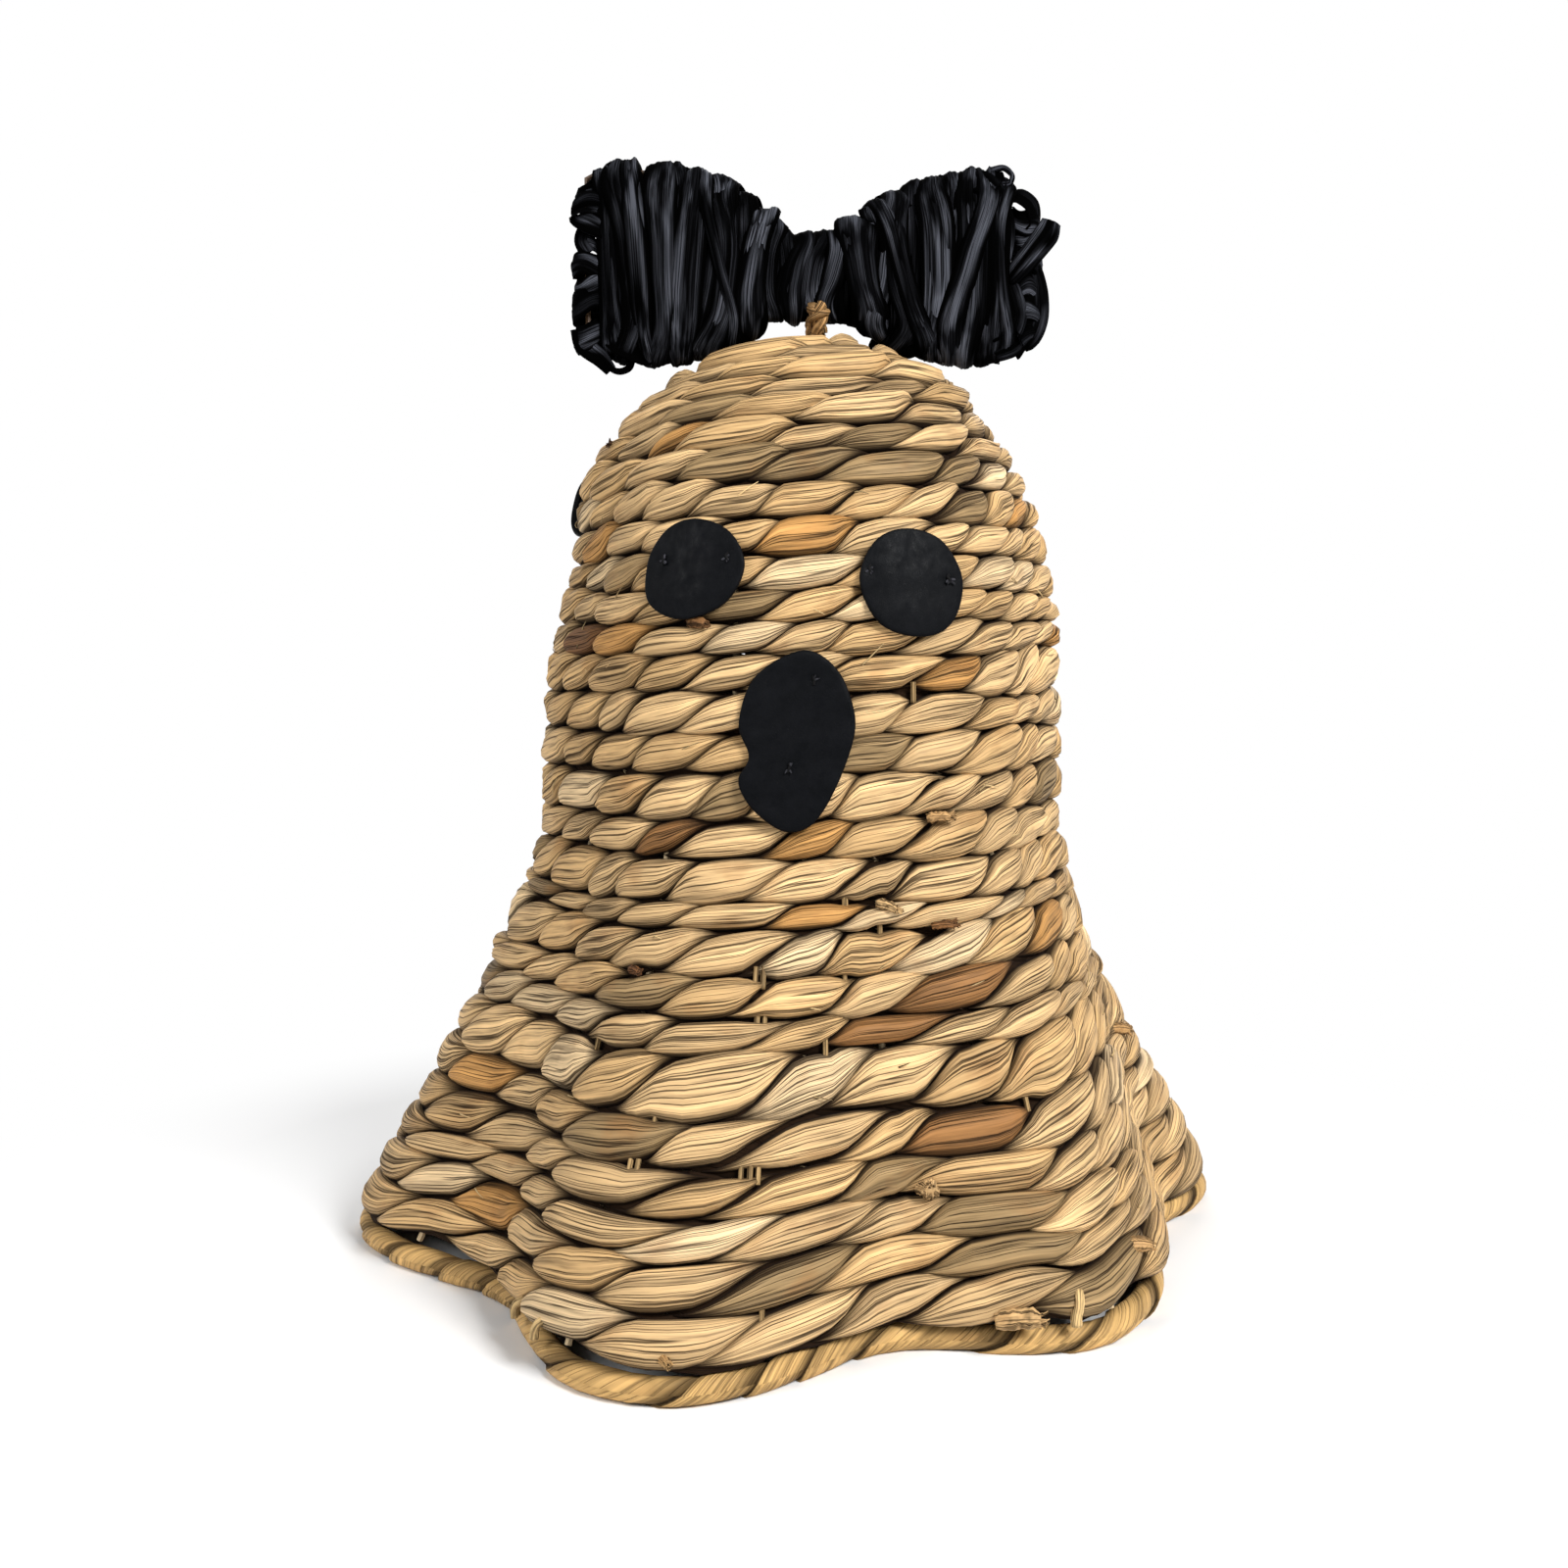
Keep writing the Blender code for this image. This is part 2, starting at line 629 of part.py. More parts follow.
def build_face(leather, thread, root):
    place = build_patch(
        "left_eye", LEFT_EYE_AZIMUTH, LEFT_EYE_Z, LEFT_EYE_OUTLINE, leather, root)
    build_stitches("left_eye", LEFT_EYE_STITCHES, LEFT_EYE_TILT, place, thread, root)
    place = build_patch(
        "right_eye", RIGHT_EYE_AZIMUTH, RIGHT_EYE_Z, RIGHT_EYE_OUTLINE, leather, root)
    build_stitches("right_eye", RIGHT_EYE_STITCHES, RIGHT_EYE_TILT, place, thread, root)
    place = build_patch("mouth", MOUTH_AZIMUTH, MOUTH_Z, MOUTH_OUTLINE, leather, root)
    build_stitches("mouth", MOUTH_STITCHES, MOUTH_TILT, place, thread, root)
    turns = [math.tau * i / SIDE_PATCH_TURNS for i in range(SIDE_PATCH_TURNS)]
    disc = [(SIDE_PATCH_RADIUS * math.sin(t), SIDE_PATCH_RADIUS * math.cos(t)) for t in turns]
    place = build_patch("side_patch", SIDE_PATCH_AZIMUTH, SIDE_PATCH_Z, disc, leather, root)
    build_stitches(
        "side_patch", SIDE_PATCH_STITCHES, SIDE_PATCH_TILT, place, thread, root)


def build_bow(raffia, wire, root):
    build_bow_frame(wire, root)
    build_sleeve("bow_wrap_left", LEFT_STATIONS, raffia, root)
    build_sleeve("bow_wrap_middle", KNOT_STATIONS, raffia, root)
    build_sleeve("bow_wrap_right", RIGHT_STATIONS, raffia, root)
    build_binding("bow_binding_left", LEFT_BAR_X, LEFT_STATIONS[0], raffia, root)
    build_binding("bow_binding_right", RIGHT_BAR_X, RIGHT_STATIONS[-1], raffia, root)
    build_strand_end(raffia, root)
    build_loop(raffia, root)


def main():
    for obj in list(bpy.data.objects):
        bpy.data.objects.remove(obj, do_unlink=True)
    root = bpy.data.objects.new("figurine", None)
    bpy.context.scene.collection.objects.link(root)
    leaf = make_material("woven_leaf", (0.55, 0.36, 0.16), 0.6)
    binding = make_material("hem_binding", (0.58, 0.39, 0.18), 0.55)
    stake = make_material("stake_wire", (0.62, 0.52, 0.38), 0.6)
    leather = make_material("black_leather", (0.012, 0.013, 0.015), 0.45)
    thread = make_material("black_thread", (0.008, 0.008, 0.009), 0.6)
    raffia = make_material("black_raffia", (0.010, 0.010, 0.012), 0.4)
    wire = make_material("bow_wire", (0.10, 0.07, 0.04), 0.5, 0.6)
    cord = make_material("jute_cord", (0.42, 0.28, 0.13), 0.8)
    build_wall(leaf, root)
    hoop = build_hoop(binding, root)
    build_stakes(stake, root)
    build_face(leather, thread, root)
    build_bow(raffia, wire, root)
    build_tie(cord, root)
    for axis in (0, 1):
        places = [vertex.co[axis] for vertex in hoop.data.vertices]
        root.location[axis] = -(min(places) + max(places)) / 2


main()
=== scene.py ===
import math

import bpy
import numpy as np
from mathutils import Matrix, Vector


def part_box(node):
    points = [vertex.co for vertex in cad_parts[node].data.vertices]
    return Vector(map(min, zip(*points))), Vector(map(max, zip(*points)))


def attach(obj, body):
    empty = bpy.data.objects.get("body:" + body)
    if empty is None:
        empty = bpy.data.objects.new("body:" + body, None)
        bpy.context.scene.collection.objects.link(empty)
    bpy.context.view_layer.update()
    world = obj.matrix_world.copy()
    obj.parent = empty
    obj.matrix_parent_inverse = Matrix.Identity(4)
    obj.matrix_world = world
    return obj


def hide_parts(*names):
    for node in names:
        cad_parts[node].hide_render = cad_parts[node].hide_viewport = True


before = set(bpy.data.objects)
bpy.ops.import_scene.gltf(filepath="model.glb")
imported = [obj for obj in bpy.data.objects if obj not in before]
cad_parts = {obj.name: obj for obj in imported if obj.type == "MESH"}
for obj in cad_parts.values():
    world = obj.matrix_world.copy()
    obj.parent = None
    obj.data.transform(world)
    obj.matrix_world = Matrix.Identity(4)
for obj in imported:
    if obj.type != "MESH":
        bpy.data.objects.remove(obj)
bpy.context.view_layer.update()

# Body sizes in metres and degrees, as in the solids
TIE_X = 0.0041
CLEAR = 0.0003
DOME_TOP_Z = 0.293
SHOULDER_Z = 0.190
HEAD_RADIUS = 0.077
HEAD_TAPER = 0.035
DOME_POWER = 2.2
FLARE_TOP_Z = 0.138
FLARE_POWER = 1.15
FACET = 0.027
FACET_TURN = 3.0
LEAN = 0.004
LEAN_Z = 0.240
DENT = 0.0055
DENT_AZIMUTH = -88.0
DENT_Z = 0.221
DENT_SPREAD = 38.0
DENT_REACH = 0.022
HEM_TURNS = ((-96, 0.147), (-56, 0.107), (-20, 0.135), (15, 0.0955), (45, 0.123), (86, 0.112),
             (112, 0.154), (142, 0.113), (172, 0.130), (195, 0.110), (218, 0.133), (240, 0.113))
HOOP_HEIGHT = 0.008
LEAF_CREST = 0.0050
PATCH_THICKNESS = 0.0018

tie_low, tie_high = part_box("tie_cord")
AXIS_X = (tie_low.x + tie_high.x) / 2 - TIE_X
AXIS_Y = (tie_low.y + tie_high.y) / 2

# Weave rows, from the hem up: height of each in mm, how often the strands cross in one turn, and
# the rows that make one piece
ROW_HEIGHTS = (13, 12, 11, 11, 13, 17, 9, 11, 13, 7, 12, 12, 13, 11, 12, 11, 9, 9, 10, 11, 11,
               10, 10, 10, 9, 11, 11, 11, 10)
ROW_TWISTS = (24,) * 21 + (18, 18, 14, 12, 10, 8, 6, 4)
ROW_GROUPS = ((0, 7), (7, 14), (14, 21), (21, 29))
ROW_WAVE = 0.0007
ROW_WAVE_SEED = 11
# Where the lowest rows lift off the hoop: azimuth, spread in degrees, height
ROW_LIFTS = ((-29, 11, 0.0030), (-72, 9, 0.005), (33, 5, 0.0035), (52, 9, 0.0045), (118, 10, 0.006),
             (176, 12, 0.005))
ROW_LIFT_REACH = 0.045
# Calmer rows in front: how far they calm, and how wide in degrees
CALM = 0.75
CALM_SPREAD = 42

# Leaves: mesh steps along and across, in front and behind, and their form
LEAF_STEPS = (17, 19)
BACK_STEPS = (9, 7)
UNDER_STEPS = 5
LEAF_FLATNESS = 2.45
LEAF_UV_WIDTH = 0.017
LEAF_ARCH = (0.14, 0.34)
BACK_ARCH = (0.34, 0.46)
LEAF_END_INSET = 0.006
LEAF_DRIFT = 0.05
LEAF_LAP = 0.008
LEAF_WIDTHS = (0.93, 1.14)
TIP_HEIGHT = 0.84
SEAM_JITTER = 0.20
SEAM_SPREAD = (0.27, 0.50)
FOLD_DEPTH = 0.00034
ROPE_MIDDLE = -0.0008
ROPE_DEPTH = 0.0058
BACK_DEPTH = 0.0046
BACK_SKIN = 0.0008
# Painted shade: a leaf darkens where its face lies lower than this above the row's middle, fully this much
# lower
SHADE_FROM = 0.0044
SHADE_OVER = 0.0038
# From this row up the leaves lie looser
LOOSE_ROW = 19
# Where leaves draw apart and a stake shows: azimuth, height along the wall in mm, share of an
# opening, and spread in degrees
OPENINGS = (
    (-8.5, 97, 0.32, 2.4), (-8.0, 86, 0.24, 2.2), (3.5, 77, 0.26, 2.0), (-24.0, 47, 0.30, 2.4),
    (-8.5, 47, 0.26, 2.4), (7.5, 97, 0.28, 2.0), (-22.0, 60, 0.28, 2.0), (-37.0, 77, 0.3, 2.2),
    (15.0, 110, 0.3, 2.2), (8.0, 117, 0.26, 2.0), (23.0, 177, 0.3, 2.2), (38.0, 60, 0.3, 2.4),
    (172.0, 86, 0.3, 2.4), (128.0, 97, 0.3, 2.4), (-140.0, 60, 0.3, 2.4), (-98.0, 110, 0.3, 2.4),
    (68.0, 36, 0.3, 2.4), (20.5, 36, 0.30, 2.6), (25.0, 110, 0.42, 3.0), (-31.5, 97, 0.44, 3.2),
    (25.0, 141, 0.34, 2.6), (14.5, 117, 0.30, 2.4), (-24.0, 197, 0.34, 2.6))
OPENING_PULL = 0.62
# Low ridge down the front right corner: its azimuth at each length up the wall
RIDGE_LENGTHS = (0.004, 0.060, 0.117, 0.177, 0.228)
RIDGE_AZIMUTHS = (38.0, 35.0, 31.0, 29.0, 27.0)
RIDGE_HEIGHT = 0.0012
RIDGE_TOP = 0.198
RIDGE_FADE = 0.012
RIDGE_SPREAD = 2.2

# Leaf colours, how often each is picked, and leaves whose own colour stands out: azimuth, row, colour
PALETTE = {"gold": (210, 175, 126), "pale": (221, 191, 147), "straw": (203, 166, 115),
           "grey": (152, 126, 88), "amber": (186, 138, 80), "brown": (146, 104, 62), "dark": (116, 80, 48)}
PALETTE_ODDS = (("gold", 0.50), ("straw", 0.34), ("pale", 0.10), ("grey", 0.045), ("amber", 0.015))
LEAF_MARKS = (
    (-24, 21, "grey"), (14, 21, "grey"), (48, 21, "grey"), (14, 22, "grey"), (-42, 22, "amber"),
    (-36, 22, "amber"), (-25, 11, "brown"), (2, 11, "amber"), (1, 19, "amber"), (-56, 16, "dark"),
    (32, 7, "brown"), (18, 6, "brown"), (35, 4, "brown"), (-25, 4, "grey"), (2, 1, "grey"),
    (-62, 1, "amber"), (-10, 3, "straw"), (20, 3, "grey"), (28, 2, "grey"), (2, 5, "pale"),
    (35, 8, "pale"))


def linear(rgb):
    c = np.asarray(rgb, float) / 255
    return np.where(c <= 0.04045, c / 12.92, ((c + 0.055) / 1.055) ** 2.4)


def aside(azimuth, centre):
    """Degrees from the centre's azimuth, from -180 to 180."""
    return (azimuth - centre + 180) % 360 - 180


def unit(v):
    return v / np.maximum(np.linalg.norm(v, axis=-1, keepdims=True), 1e-12)


def signed_power(value, power):
    return np.sign(value) * abs(value) ** power


def smooth(t):
    return t * t * (3 - 2 * t)


# Wall: its outline from hem to crown, and the surface round it
def build_meridian():
    samples = []
    hem_z = HOOP_HEIGHT + CLEAR
    for i in range(40):
        z = hem_z + (SHOULDER_Z - hem_z) * i / 40
        samples.append((HEAD_RADIUS + HEAD_TAPER * (SHOULDER_Z - z), z))
    for i in range(241):
        angle = math.pi / 2 * i / 240
        radius = HEAD_RADIUS * max(math.cos(angle), 0.0) ** (2 / DOME_POWER)
        height = (DOME_TOP_Z - SHOULDER_Z) * math.sin(angle) ** (2 / DOME_POWER)
        samples.append((radius, SHOULDER_Z + height))
    points = np.array(samples)
    lengths = np.concatenate(([0.0], np.cumsum(np.hypot(*np.diff(points, axis=0).T))))
    return lengths, points[:, 0], points[:, 1]


LENGTHS, RADII, HEIGHTS = build_meridian()
TURN_AZIMUTHS = np.array([turn[0] for turn in HEM_TURNS] + [HEM_TURNS[0][0] + 360.0])
TURN_RADII = np.array([turn[1] for turn in HEM_TURNS] + [HEM_TURNS[0][1]])


def hem_radius(azimuth):
    azimuth = (azimuth - TURN_AZIMUTHS[0]) % 360 + TURN_AZIMUTHS[0]
    i = np.clip(np.searchsorted(TURN_AZIMUTHS, azimuth, side="right") - 1, 0, len(HEM_TURNS) - 1)
    t = (azimuth - TURN_AZIMUTHS[i]) / (TURN_AZIMUTHS[i + 1] - TURN_AZIMUTHS[i])
    return TURN_RADII[i] + (TURN_RADII[i + 1] - TURN_RADII[i]) * (1 - np.cos(np.pi * t)) / 2


def wall(azimuth, length):
    azimuth, length = np.broadcast_arrays(np.asarray(azimuth, float), np.asarray(length, float))
    mean = np.interp(length, LENGTHS, RADII)
    z = np.interp(length, LENGTHS, HEIGHTS)
    facet = 1 - FACET * np.minimum(1, mean / HEAD_RADIUS) * np.cos(np.radians(6 * (azimuth - FACET_TURN)))
    flare = np.maximum(0, (FLARE_TOP_Z - z) / FLARE_TOP_Z) ** FLARE_POWER
    radius = mean * facet + flare * (hem_radius(azimuth) - HEAD_RADIUS * facet)
    off_dent = aside(azimuth, DENT_AZIMUTH) / DENT_SPREAD
    radius = radius - DENT * np.exp(-off_dent ** 2 - ((z - DENT_Z) / DENT_REACH) ** 2)
    lean = LEAN * np.maximum(0, (z - LEAN_Z) / (DOME_TOP_Z - LEAN_Z)) ** 2
    turn = np.radians(azimuth)
    return np.stack((AXIS_X + lean + radius * np.sin(turn), AXIS_Y - radius * np.cos(turn), z), -1)


def wall_frame(azimuth, length):
    """Point, along, out and up at a place on the wall's middle."""
    across = wall(azimuth + 1.0, length) - wall(azimuth - 1.0, length)
    upward = wall(azimuth, length + 6e-4) - wall(azimuth, length - 6e-4)
    along = unit(across)
    out = unit(np.cross(across, upward))
    return wall(azimuth, length), along, out, np.cross(out, along)


def wall_place(azimuth, length):
    """The same at one place."""
    return (v[0] for v in wall_frame(np.array([azimuth]), np.array([length])))


# Shader nodes
def node(tree, kind, links=None, **settings):
    made = tree.nodes.new(kind)
    for key, value in settings.items():
        setattr(made, key, value)
    for key, value in (links or {}).items():
        if isinstance(value, bpy.types.NodeSocket):
            tree.links.new(value, made.inputs[key])
        else:
            made.inputs[key].default_value = value
    return made


def new_material(name):
    material = bpy.data.materials.new(name)
    material.use_nodes = True
    tree = material.node_tree
    return material, tree, tree.nodes["Principled BSDF"]


def colour(rgb):
    return (*linear(rgb), 1)


def calc(tree, operation, first, second):
    return node(tree, "ShaderNodeMath", {0: first, 1: second}, operation=operation).outputs[0]


def times(tree, *factors):
    product = factors[0]
    for factor in factors[1:]:
        product = calc(tree, "MULTIPLY", product, factor)
    return product


def ramp(tree, value, start, end, low, high, **settings):
    """Takes start to end over to low to high."""
    links = {"Value": value, "From Min": start, "From Max": end, "To Min": low, "To Max": high}
    return node(tree, "ShaderNodeMapRange", links, **settings).outputs[0]


def blend(tree, factor, first, second, **settings):
    links = {"Factor": factor, "A": first, "B": second}
    return node(tree, "ShaderNodeMix", links, data_type="RGBA", **settings).outputs["Result"]


def noise(tree, place, scale, detail, roughness=0.5):
    stretched = node(tree, "ShaderNodeMapping", {"Vector": place, "Scale": scale}).outputs[0]
    links = {"Vector": stretched, "Scale": 1.0, "Detail": detail, "Roughness": roughness}
    return node(tree, "ShaderNodeTexNoise", links).outputs["Fac"]


def attribute(tree, name, output):
    return node(tree, "ShaderNodeAttribute", attribute_name=name).outputs[output]


def finish_shader(tree, shader, base, roughness, height, strength, distance):
    bumped = node(tree, "ShaderNodeBump", {"Height": height, "Strength": strength, "Distance": distance})
    tree.links.new(base, shader.inputs["Base Color"])
    tree.links.new(roughness, shader.inputs["Roughness"])
    tree.links.new(bumped.outputs[0], shader.inputs["Normal"])


# Finishes
def leaf_material(name, line_depth=0.34, fibre=(55.0, 1500.0)):
    """Dried leaf: fibres along the strand, creases and seams darkened by painted shade toward a warm near
    black, stains and a satin face.
    """
    material, tree, shader = new_material(name)
    uv = node(tree, "ShaderNodeUVMap", uv_map="strand").outputs[0]
    fine = noise(tree, uv, (fibre[0], fibre[1], 1), 3.0, 0.6)
    coarse = noise(tree, uv, (fibre[0] * 0.5, fibre[1] * 0.3, 1), 2.0)
    stain = noise(tree, uv, (70, 110, 1), 3.0)
    lines = noise(tree, uv, (11, 950, 1), 2.0, 0.45)
    off_line = calc(tree, "ABSOLUTE", calc(tree, "SUBTRACT", lines, 0.5), 0.0)
    groove = ramp(tree, off_line, 0.0, 0.040, 0.0, 1.0, interpolation_type="SMOOTHSTEP")
    painted_shading = attribute(tree, "painted_shading", "Fac")
    shade = times(tree, ramp(tree, fine, 0.3, 0.7, 0.60, 1.26), ramp(tree, coarse, 0.3, 0.7, 0.84, 1.1),
                  ramp(tree, groove, 0.0, 1.0, line_depth, 1.03), ramp(tree, painted_shading, -3.1, 0.6, 0.03, 1.06))
    stained = ramp(tree, stain, 0.56, 0.75, 0.0, 0.45)
    tone = blend(tree, stained, attribute(tree, "tint", "Color"), colour((150, 100, 52)))
    tone = blend(tree, 1.0, tone, shade, blend_type="MULTIPLY")
    # Painted shade: where the shading is deep the colour goes to a warm near black
    dark = ramp(tree, shade, 0.0, 0.8, 1.0, 0.0)
    tone = blend(tree, dark, tone, (0.016, 0.0075, 0.003, 1))
    roughness = calc(tree, "MAXIMUM", ramp(tree, coarse, 0.0, 1.0, 0.43, 0.70),
                     ramp(tree, shade, 0.2, 0.9, 1.0, 0.3))
    height = calc(tree, "ADD", times(tree, fine, 0.5), coarse)
    height = calc(tree, "ADD", height, times(tree, groove, 0.7))
    shader.inputs["Specular IOR Level"].default_value = 0.13
    finish_shader(tree, shader, tone, roughness, height, 0.9, 0.00035)
    return material


def raffia_material():
    """Near black raffia: matt and black in its folds, with painted highlight streaks along its ridges, all
    painted in the base colour.
    """
    material, tree, shader = new_material("black_raffia_finish")
    uv = node(tree, "ShaderNodeUVMap", uv_map="strand").outputs[0]
    fine = noise(tree, uv, (60, 2900, 1), 3.0, 0.65)
    wide = noise(tree, uv, (48, 260, 1), 2.0)
    # Painted highlight in the base colour: lighter along ridges, in fine streaks and broad patches, black in
    # folds and at edges
    ridge_highlight = ramp(tree, attribute(tree, "painted_shading", "Fac"), -0.7, 1.0, 0.0, 1.55)
    streak = ramp(tree, fine, 0.38, 0.62, 0.12, 1.75)
    patch = ramp(tree, wide, 0.42, 0.68, 0.10, 1.5)
    lit = times(tree, ridge_highlight, streak, patch, attribute(tree, "tint", "Fac"))
    painted_sheen = times(tree, calc(tree, "POWER", lit, 1.4), 0.62)
    # The painted highlight's colour, reached where the painted sheen is full
    tone = blend(tree, painted_sheen, (0, 0, 0, 1), colour((70, 72, 79)))
    height = calc(tree, "ADD", times(tree, fine, 0.6), wide)
    shader.inputs["Specular IOR Level"].default_value = 0.012
    finish_shader(tree, shader, tone, ramp(tree, painted_sheen, 0.0, 1.0, 0.85, 0.34), height, 1.0, 0.0008)
    return material


def grained_material(name, dark, light, scale, rough, bump):
    """A grained finish in the piece's own space."""
    material, tree, shader = new_material(name)
    place = node(tree, "ShaderNodeTexCoord").outputs["Object"]
    grain = noise(tree, place, scale, 6.0, 0.6)
    tone = blend(tree, grain, colour(dark), colour(light))
    finish_shader(tree, shader, tone, ramp(tree, grain, 0.0, 1.0, rough - 0.1, rough + 0.1), grain, 0.8, bump)
    return material


def leather_material():
    """Black leather with a faint grain, light and dark clouds and satin streaks."""
    material, tree, shader = new_material("black_leather_grained")
    place = node(tree, "ShaderNodeTexCoord").outputs["Object"]
    pores = node(tree, "ShaderNodeTexVoronoi", {"Vector": place, "Scale": 1700.0}, feature="DISTANCE_TO_EDGE")
    clouds = noise(tree, place, (260.0, 260.0, 260.0), 5.0, 0.65)
    streaks = noise(tree, place, (420, 420, 300), 3.0)
    tone = blend(tree, clouds, colour((0, 1, 2)), colour((14, 15, 18)))
    pore_depth = calc(tree, "MINIMUM", times(tree, pores.outputs["Distance"], 3.0), 0.3)
    height = calc(tree, "ADD", pore_depth, clouds)
    shader.inputs["Specular IOR Level"].default_value = 0.045
    finish_shader(tree, shader, tone, ramp(tree, streaks, 0.3, 0.7, 0.30, 0.66), height, 0.6, 0.00012)
    return material


def torn_material():
    """Raw torn edge of black leather, greyer than its face."""
    material, tree, shader = new_material("black_leather_torn")
    tone = blend(tree, 1.0, attribute(tree, "tint", "Color"), colour((38, 38, 42)), blend_type="MULTIPLY")
    tree.links.new(tone, shader.inputs["Base Color"])
    shader.inputs["Roughness"].default_value = 0.7
    shader.inputs["Specular IOR Level"].default_value = 0.1
    return material


LEAF = leaf_material("woven_leaf_finish")
HEM_LEAF = leaf_material("hem_leaf_finish", 0.78, (40.0, 1100.0))
RAFFIA = raffia_material()
LEATHER = leather_material()
TORN_LEATHER = torn_material()
PALE_REED = grained_material("pale_reed_finish", (150, 124, 88), (214, 192, 152),
                             (5400, 5400, 900), 0.6, 0.0002)
DARK_WIRE = grained_material("brown_wire_finish", (40, 27, 16), (88, 62, 36),
                             (1600, 1600, 1600), 0.5, 0.0001)


# Meshes
def quad_uv(u, v, step_u, step_v):
    """Places at the corners of each quad."""
    u, v = np.broadcast_arrays(u, v)
    corners = ((u, v), (u + step_u, v), (u + step_u, v + step_v), (u, v + step_v))
    return np.stack([np.stack(corner, -1) for corner in corners], 2)


class Collector:
    """Gathers the parts of one piece: points, faces, strand places, colours and painted shading."""

    def __init__(self):
        self.points, self.faces, self.uv, self.tints, self.painted_shadings = [], [], [], [], []
        self.count = 0

    def add(self, points, quads, uv, tints, painted_shadings, caps=(), cap_uv=0.5):
        self.faces += (quads.reshape(-1, 4) + self.count).tolist()
        self.faces += [[self.count + corner for corner in cap] for cap in caps]
        self.uv.append(uv.reshape(-1, 2))
        self.uv.append(np.full((sum(len(cap) for cap in caps), 2), cap_uv))
        self.points.append(points.reshape(-1, 3))
        self.tints.append(np.broadcast_to(tints, points.shape).reshape(-1, 3))
        self.painted_shadings.append(np.broadcast_to(painted_shadings, points.shape[:-1]).reshape(-1))
        self.count += points.size // 3

    def grid(self, rings, closed, step_u, step_v, start=(0.0, 0.0), tint=1.0, painted_shading=0.0):
        """Rings of points, joined into a closed loop or shut with a cap at each end."""
        count, around = rings.shape[:2]
        i = np.arange(count if closed else count - 1)[:, None]
        j = np.arange(around)[None]
        over, beside = (i + 1) % count * around, (j + 1) % around
        quads = np.stack((i * around + j, over + j, over + beside, i * around + beside), -1)
        uv = quad_uv(start[0] + i * step_u, start[1] + j * step_v, step_u, step_v)
        last = range(count * around - 1, (count - 1) * around - 1, -1)
        self.add(rings, quads, uv, tint, painted_shading, () if closed else (range(around), last), start)

    def build(self, name, material, slot, *replaces):
        mesh = bpy.data.meshes.new(name)
        mesh.from_pydata(np.concatenate(self.points).tolist(), [], self.faces)
        mesh.shade_smooth()
        layer = mesh.uv_layers.new(name="strand")
        layer.data.foreach_set("uv", np.concatenate(self.uv).astype(np.float32).ravel())
        tints = np.concatenate(self.tints)
        rgba = np.concatenate((tints, np.ones((len(tints), 1))), 1).astype(np.float32)
        mesh.attributes.new("tint", "FLOAT_COLOR", "POINT").data.foreach_set("color", rgba.ravel())
        painted_shadings = np.concatenate(self.painted_shadings).astype(np.float32)
        mesh.attributes.new("painted_shading", "FLOAT", "POINT").data.foreach_set("value", painted_shadings)
        mesh.materials.append(material)
        obj = bpy.data.objects.new(name, mesh)
        bpy.context.collection.objects.link(obj)
        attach(obj, "root")
        if replaces:
            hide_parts(*replaces)


# Weave
def row_edges(azimuth):
    """Lengths up the wall of all row edges at each azimuth."""
    edges = np.concatenate(([0.0], np.cumsum(ROW_HEIGHTS))) / 1000
    random = np.random.RandomState(ROW_WAVE_SEED)
    turn = np.radians(azimuth)[:, None]
    wave = 0
    for harmonic in (1, 2, 3, 5):
        phase = random.uniform(0, 2 * np.pi, len(edges))
        wave = wave + np.sin(harmonic * turn + phase) * ROW_WAVE
    calm = 1 - CALM * np.exp(-(aside(azimuth, 0) / CALM_SPREAD) ** 2)[:, None]
    wave = wave * calm * np.clip(edges / 0.02, 0.2, 1) * np.clip((0.315 - edges) / 0.05, 0, 1)
    lift = np.zeros(len(azimuth))
    for centre, spread, height in ROW_LIFTS:
        lift += height * np.exp(-(aside(azimuth, centre) / spread) ** 2)
    fade = np.clip(1 - edges / ROW_LIFT_REACH, 0, 1) ** 1.5
    return edges + wave + 0.0012 * fade + lift[:, None] * fade


def leaf_bounds(u, left, left_spread, right, right_spread, arch):
    """Low and high edge of each leaf across its row, from -1 to 1, at places u along the row."""
    start, end = left - left_spread, right + right_spread
    rise = TIP_HEIGHT * np.sin(np.pi / 2 * np.clip((u - left) / left_spread, -1, 1))
    fall = TIP_HEIGHT * np.sin(np.pi / 2 * np.clip((u - right) / right_spread, -1, 1))
    over = np.clip((u - left - left_spread) / (end - left - left_spread), 0, 1)
    under = np.clip((u - start) / (right - right_spread - start), 0, 1)
    high = rise + arch * np.sin(np.pi * over) ** 0.8
    low = fall - arch * np.sin(np.pi * under) ** 0.8
    return low, high


def open_seams(row, azimuth, low, high):
    """Draws leaves back from the openings along this row's edges."""
    heights = np.cumsum(ROW_HEIGHTS)
    for centre, height, amount, spread in OPENINGS:
        edge = int(np.argmin(abs(heights - height))) + 1
        pull = amount * OPENING_PULL * np.exp(-(aside(azimuth, centre) / spread) ** 2)
        low = low + pull * (row == edge)
        high = high - pull * (row == edge - 1)
    return low, high


def leaf_folds(random, twists, across, along):
    """Pleats across each leaf, that change from its start to its end, and how strong they are."""
    knots = across // 3 + 2
    broad = random.normal(0, 1, (twists, knots))
    fine = random.normal(0, 1, (twists, across))
    spots = np.linspace(0, knots - 1, across)
    broad = np.stack([np.interp(spots, np.arange(knots), values) for values in broad])
    early = broad * 0.55 + fine * 0.6
    late = np.roll(early, 1, axis=0) * 0.5 + random.normal(0, 0.6, (twists, across))
    along = along[None, :, None]
    fold = early[:, None] * (1 - 0.6 * along) + late[:, None] * 0.6 * along
    return fold, random.uniform(0.6, 1.2, (twists, 1, 1))


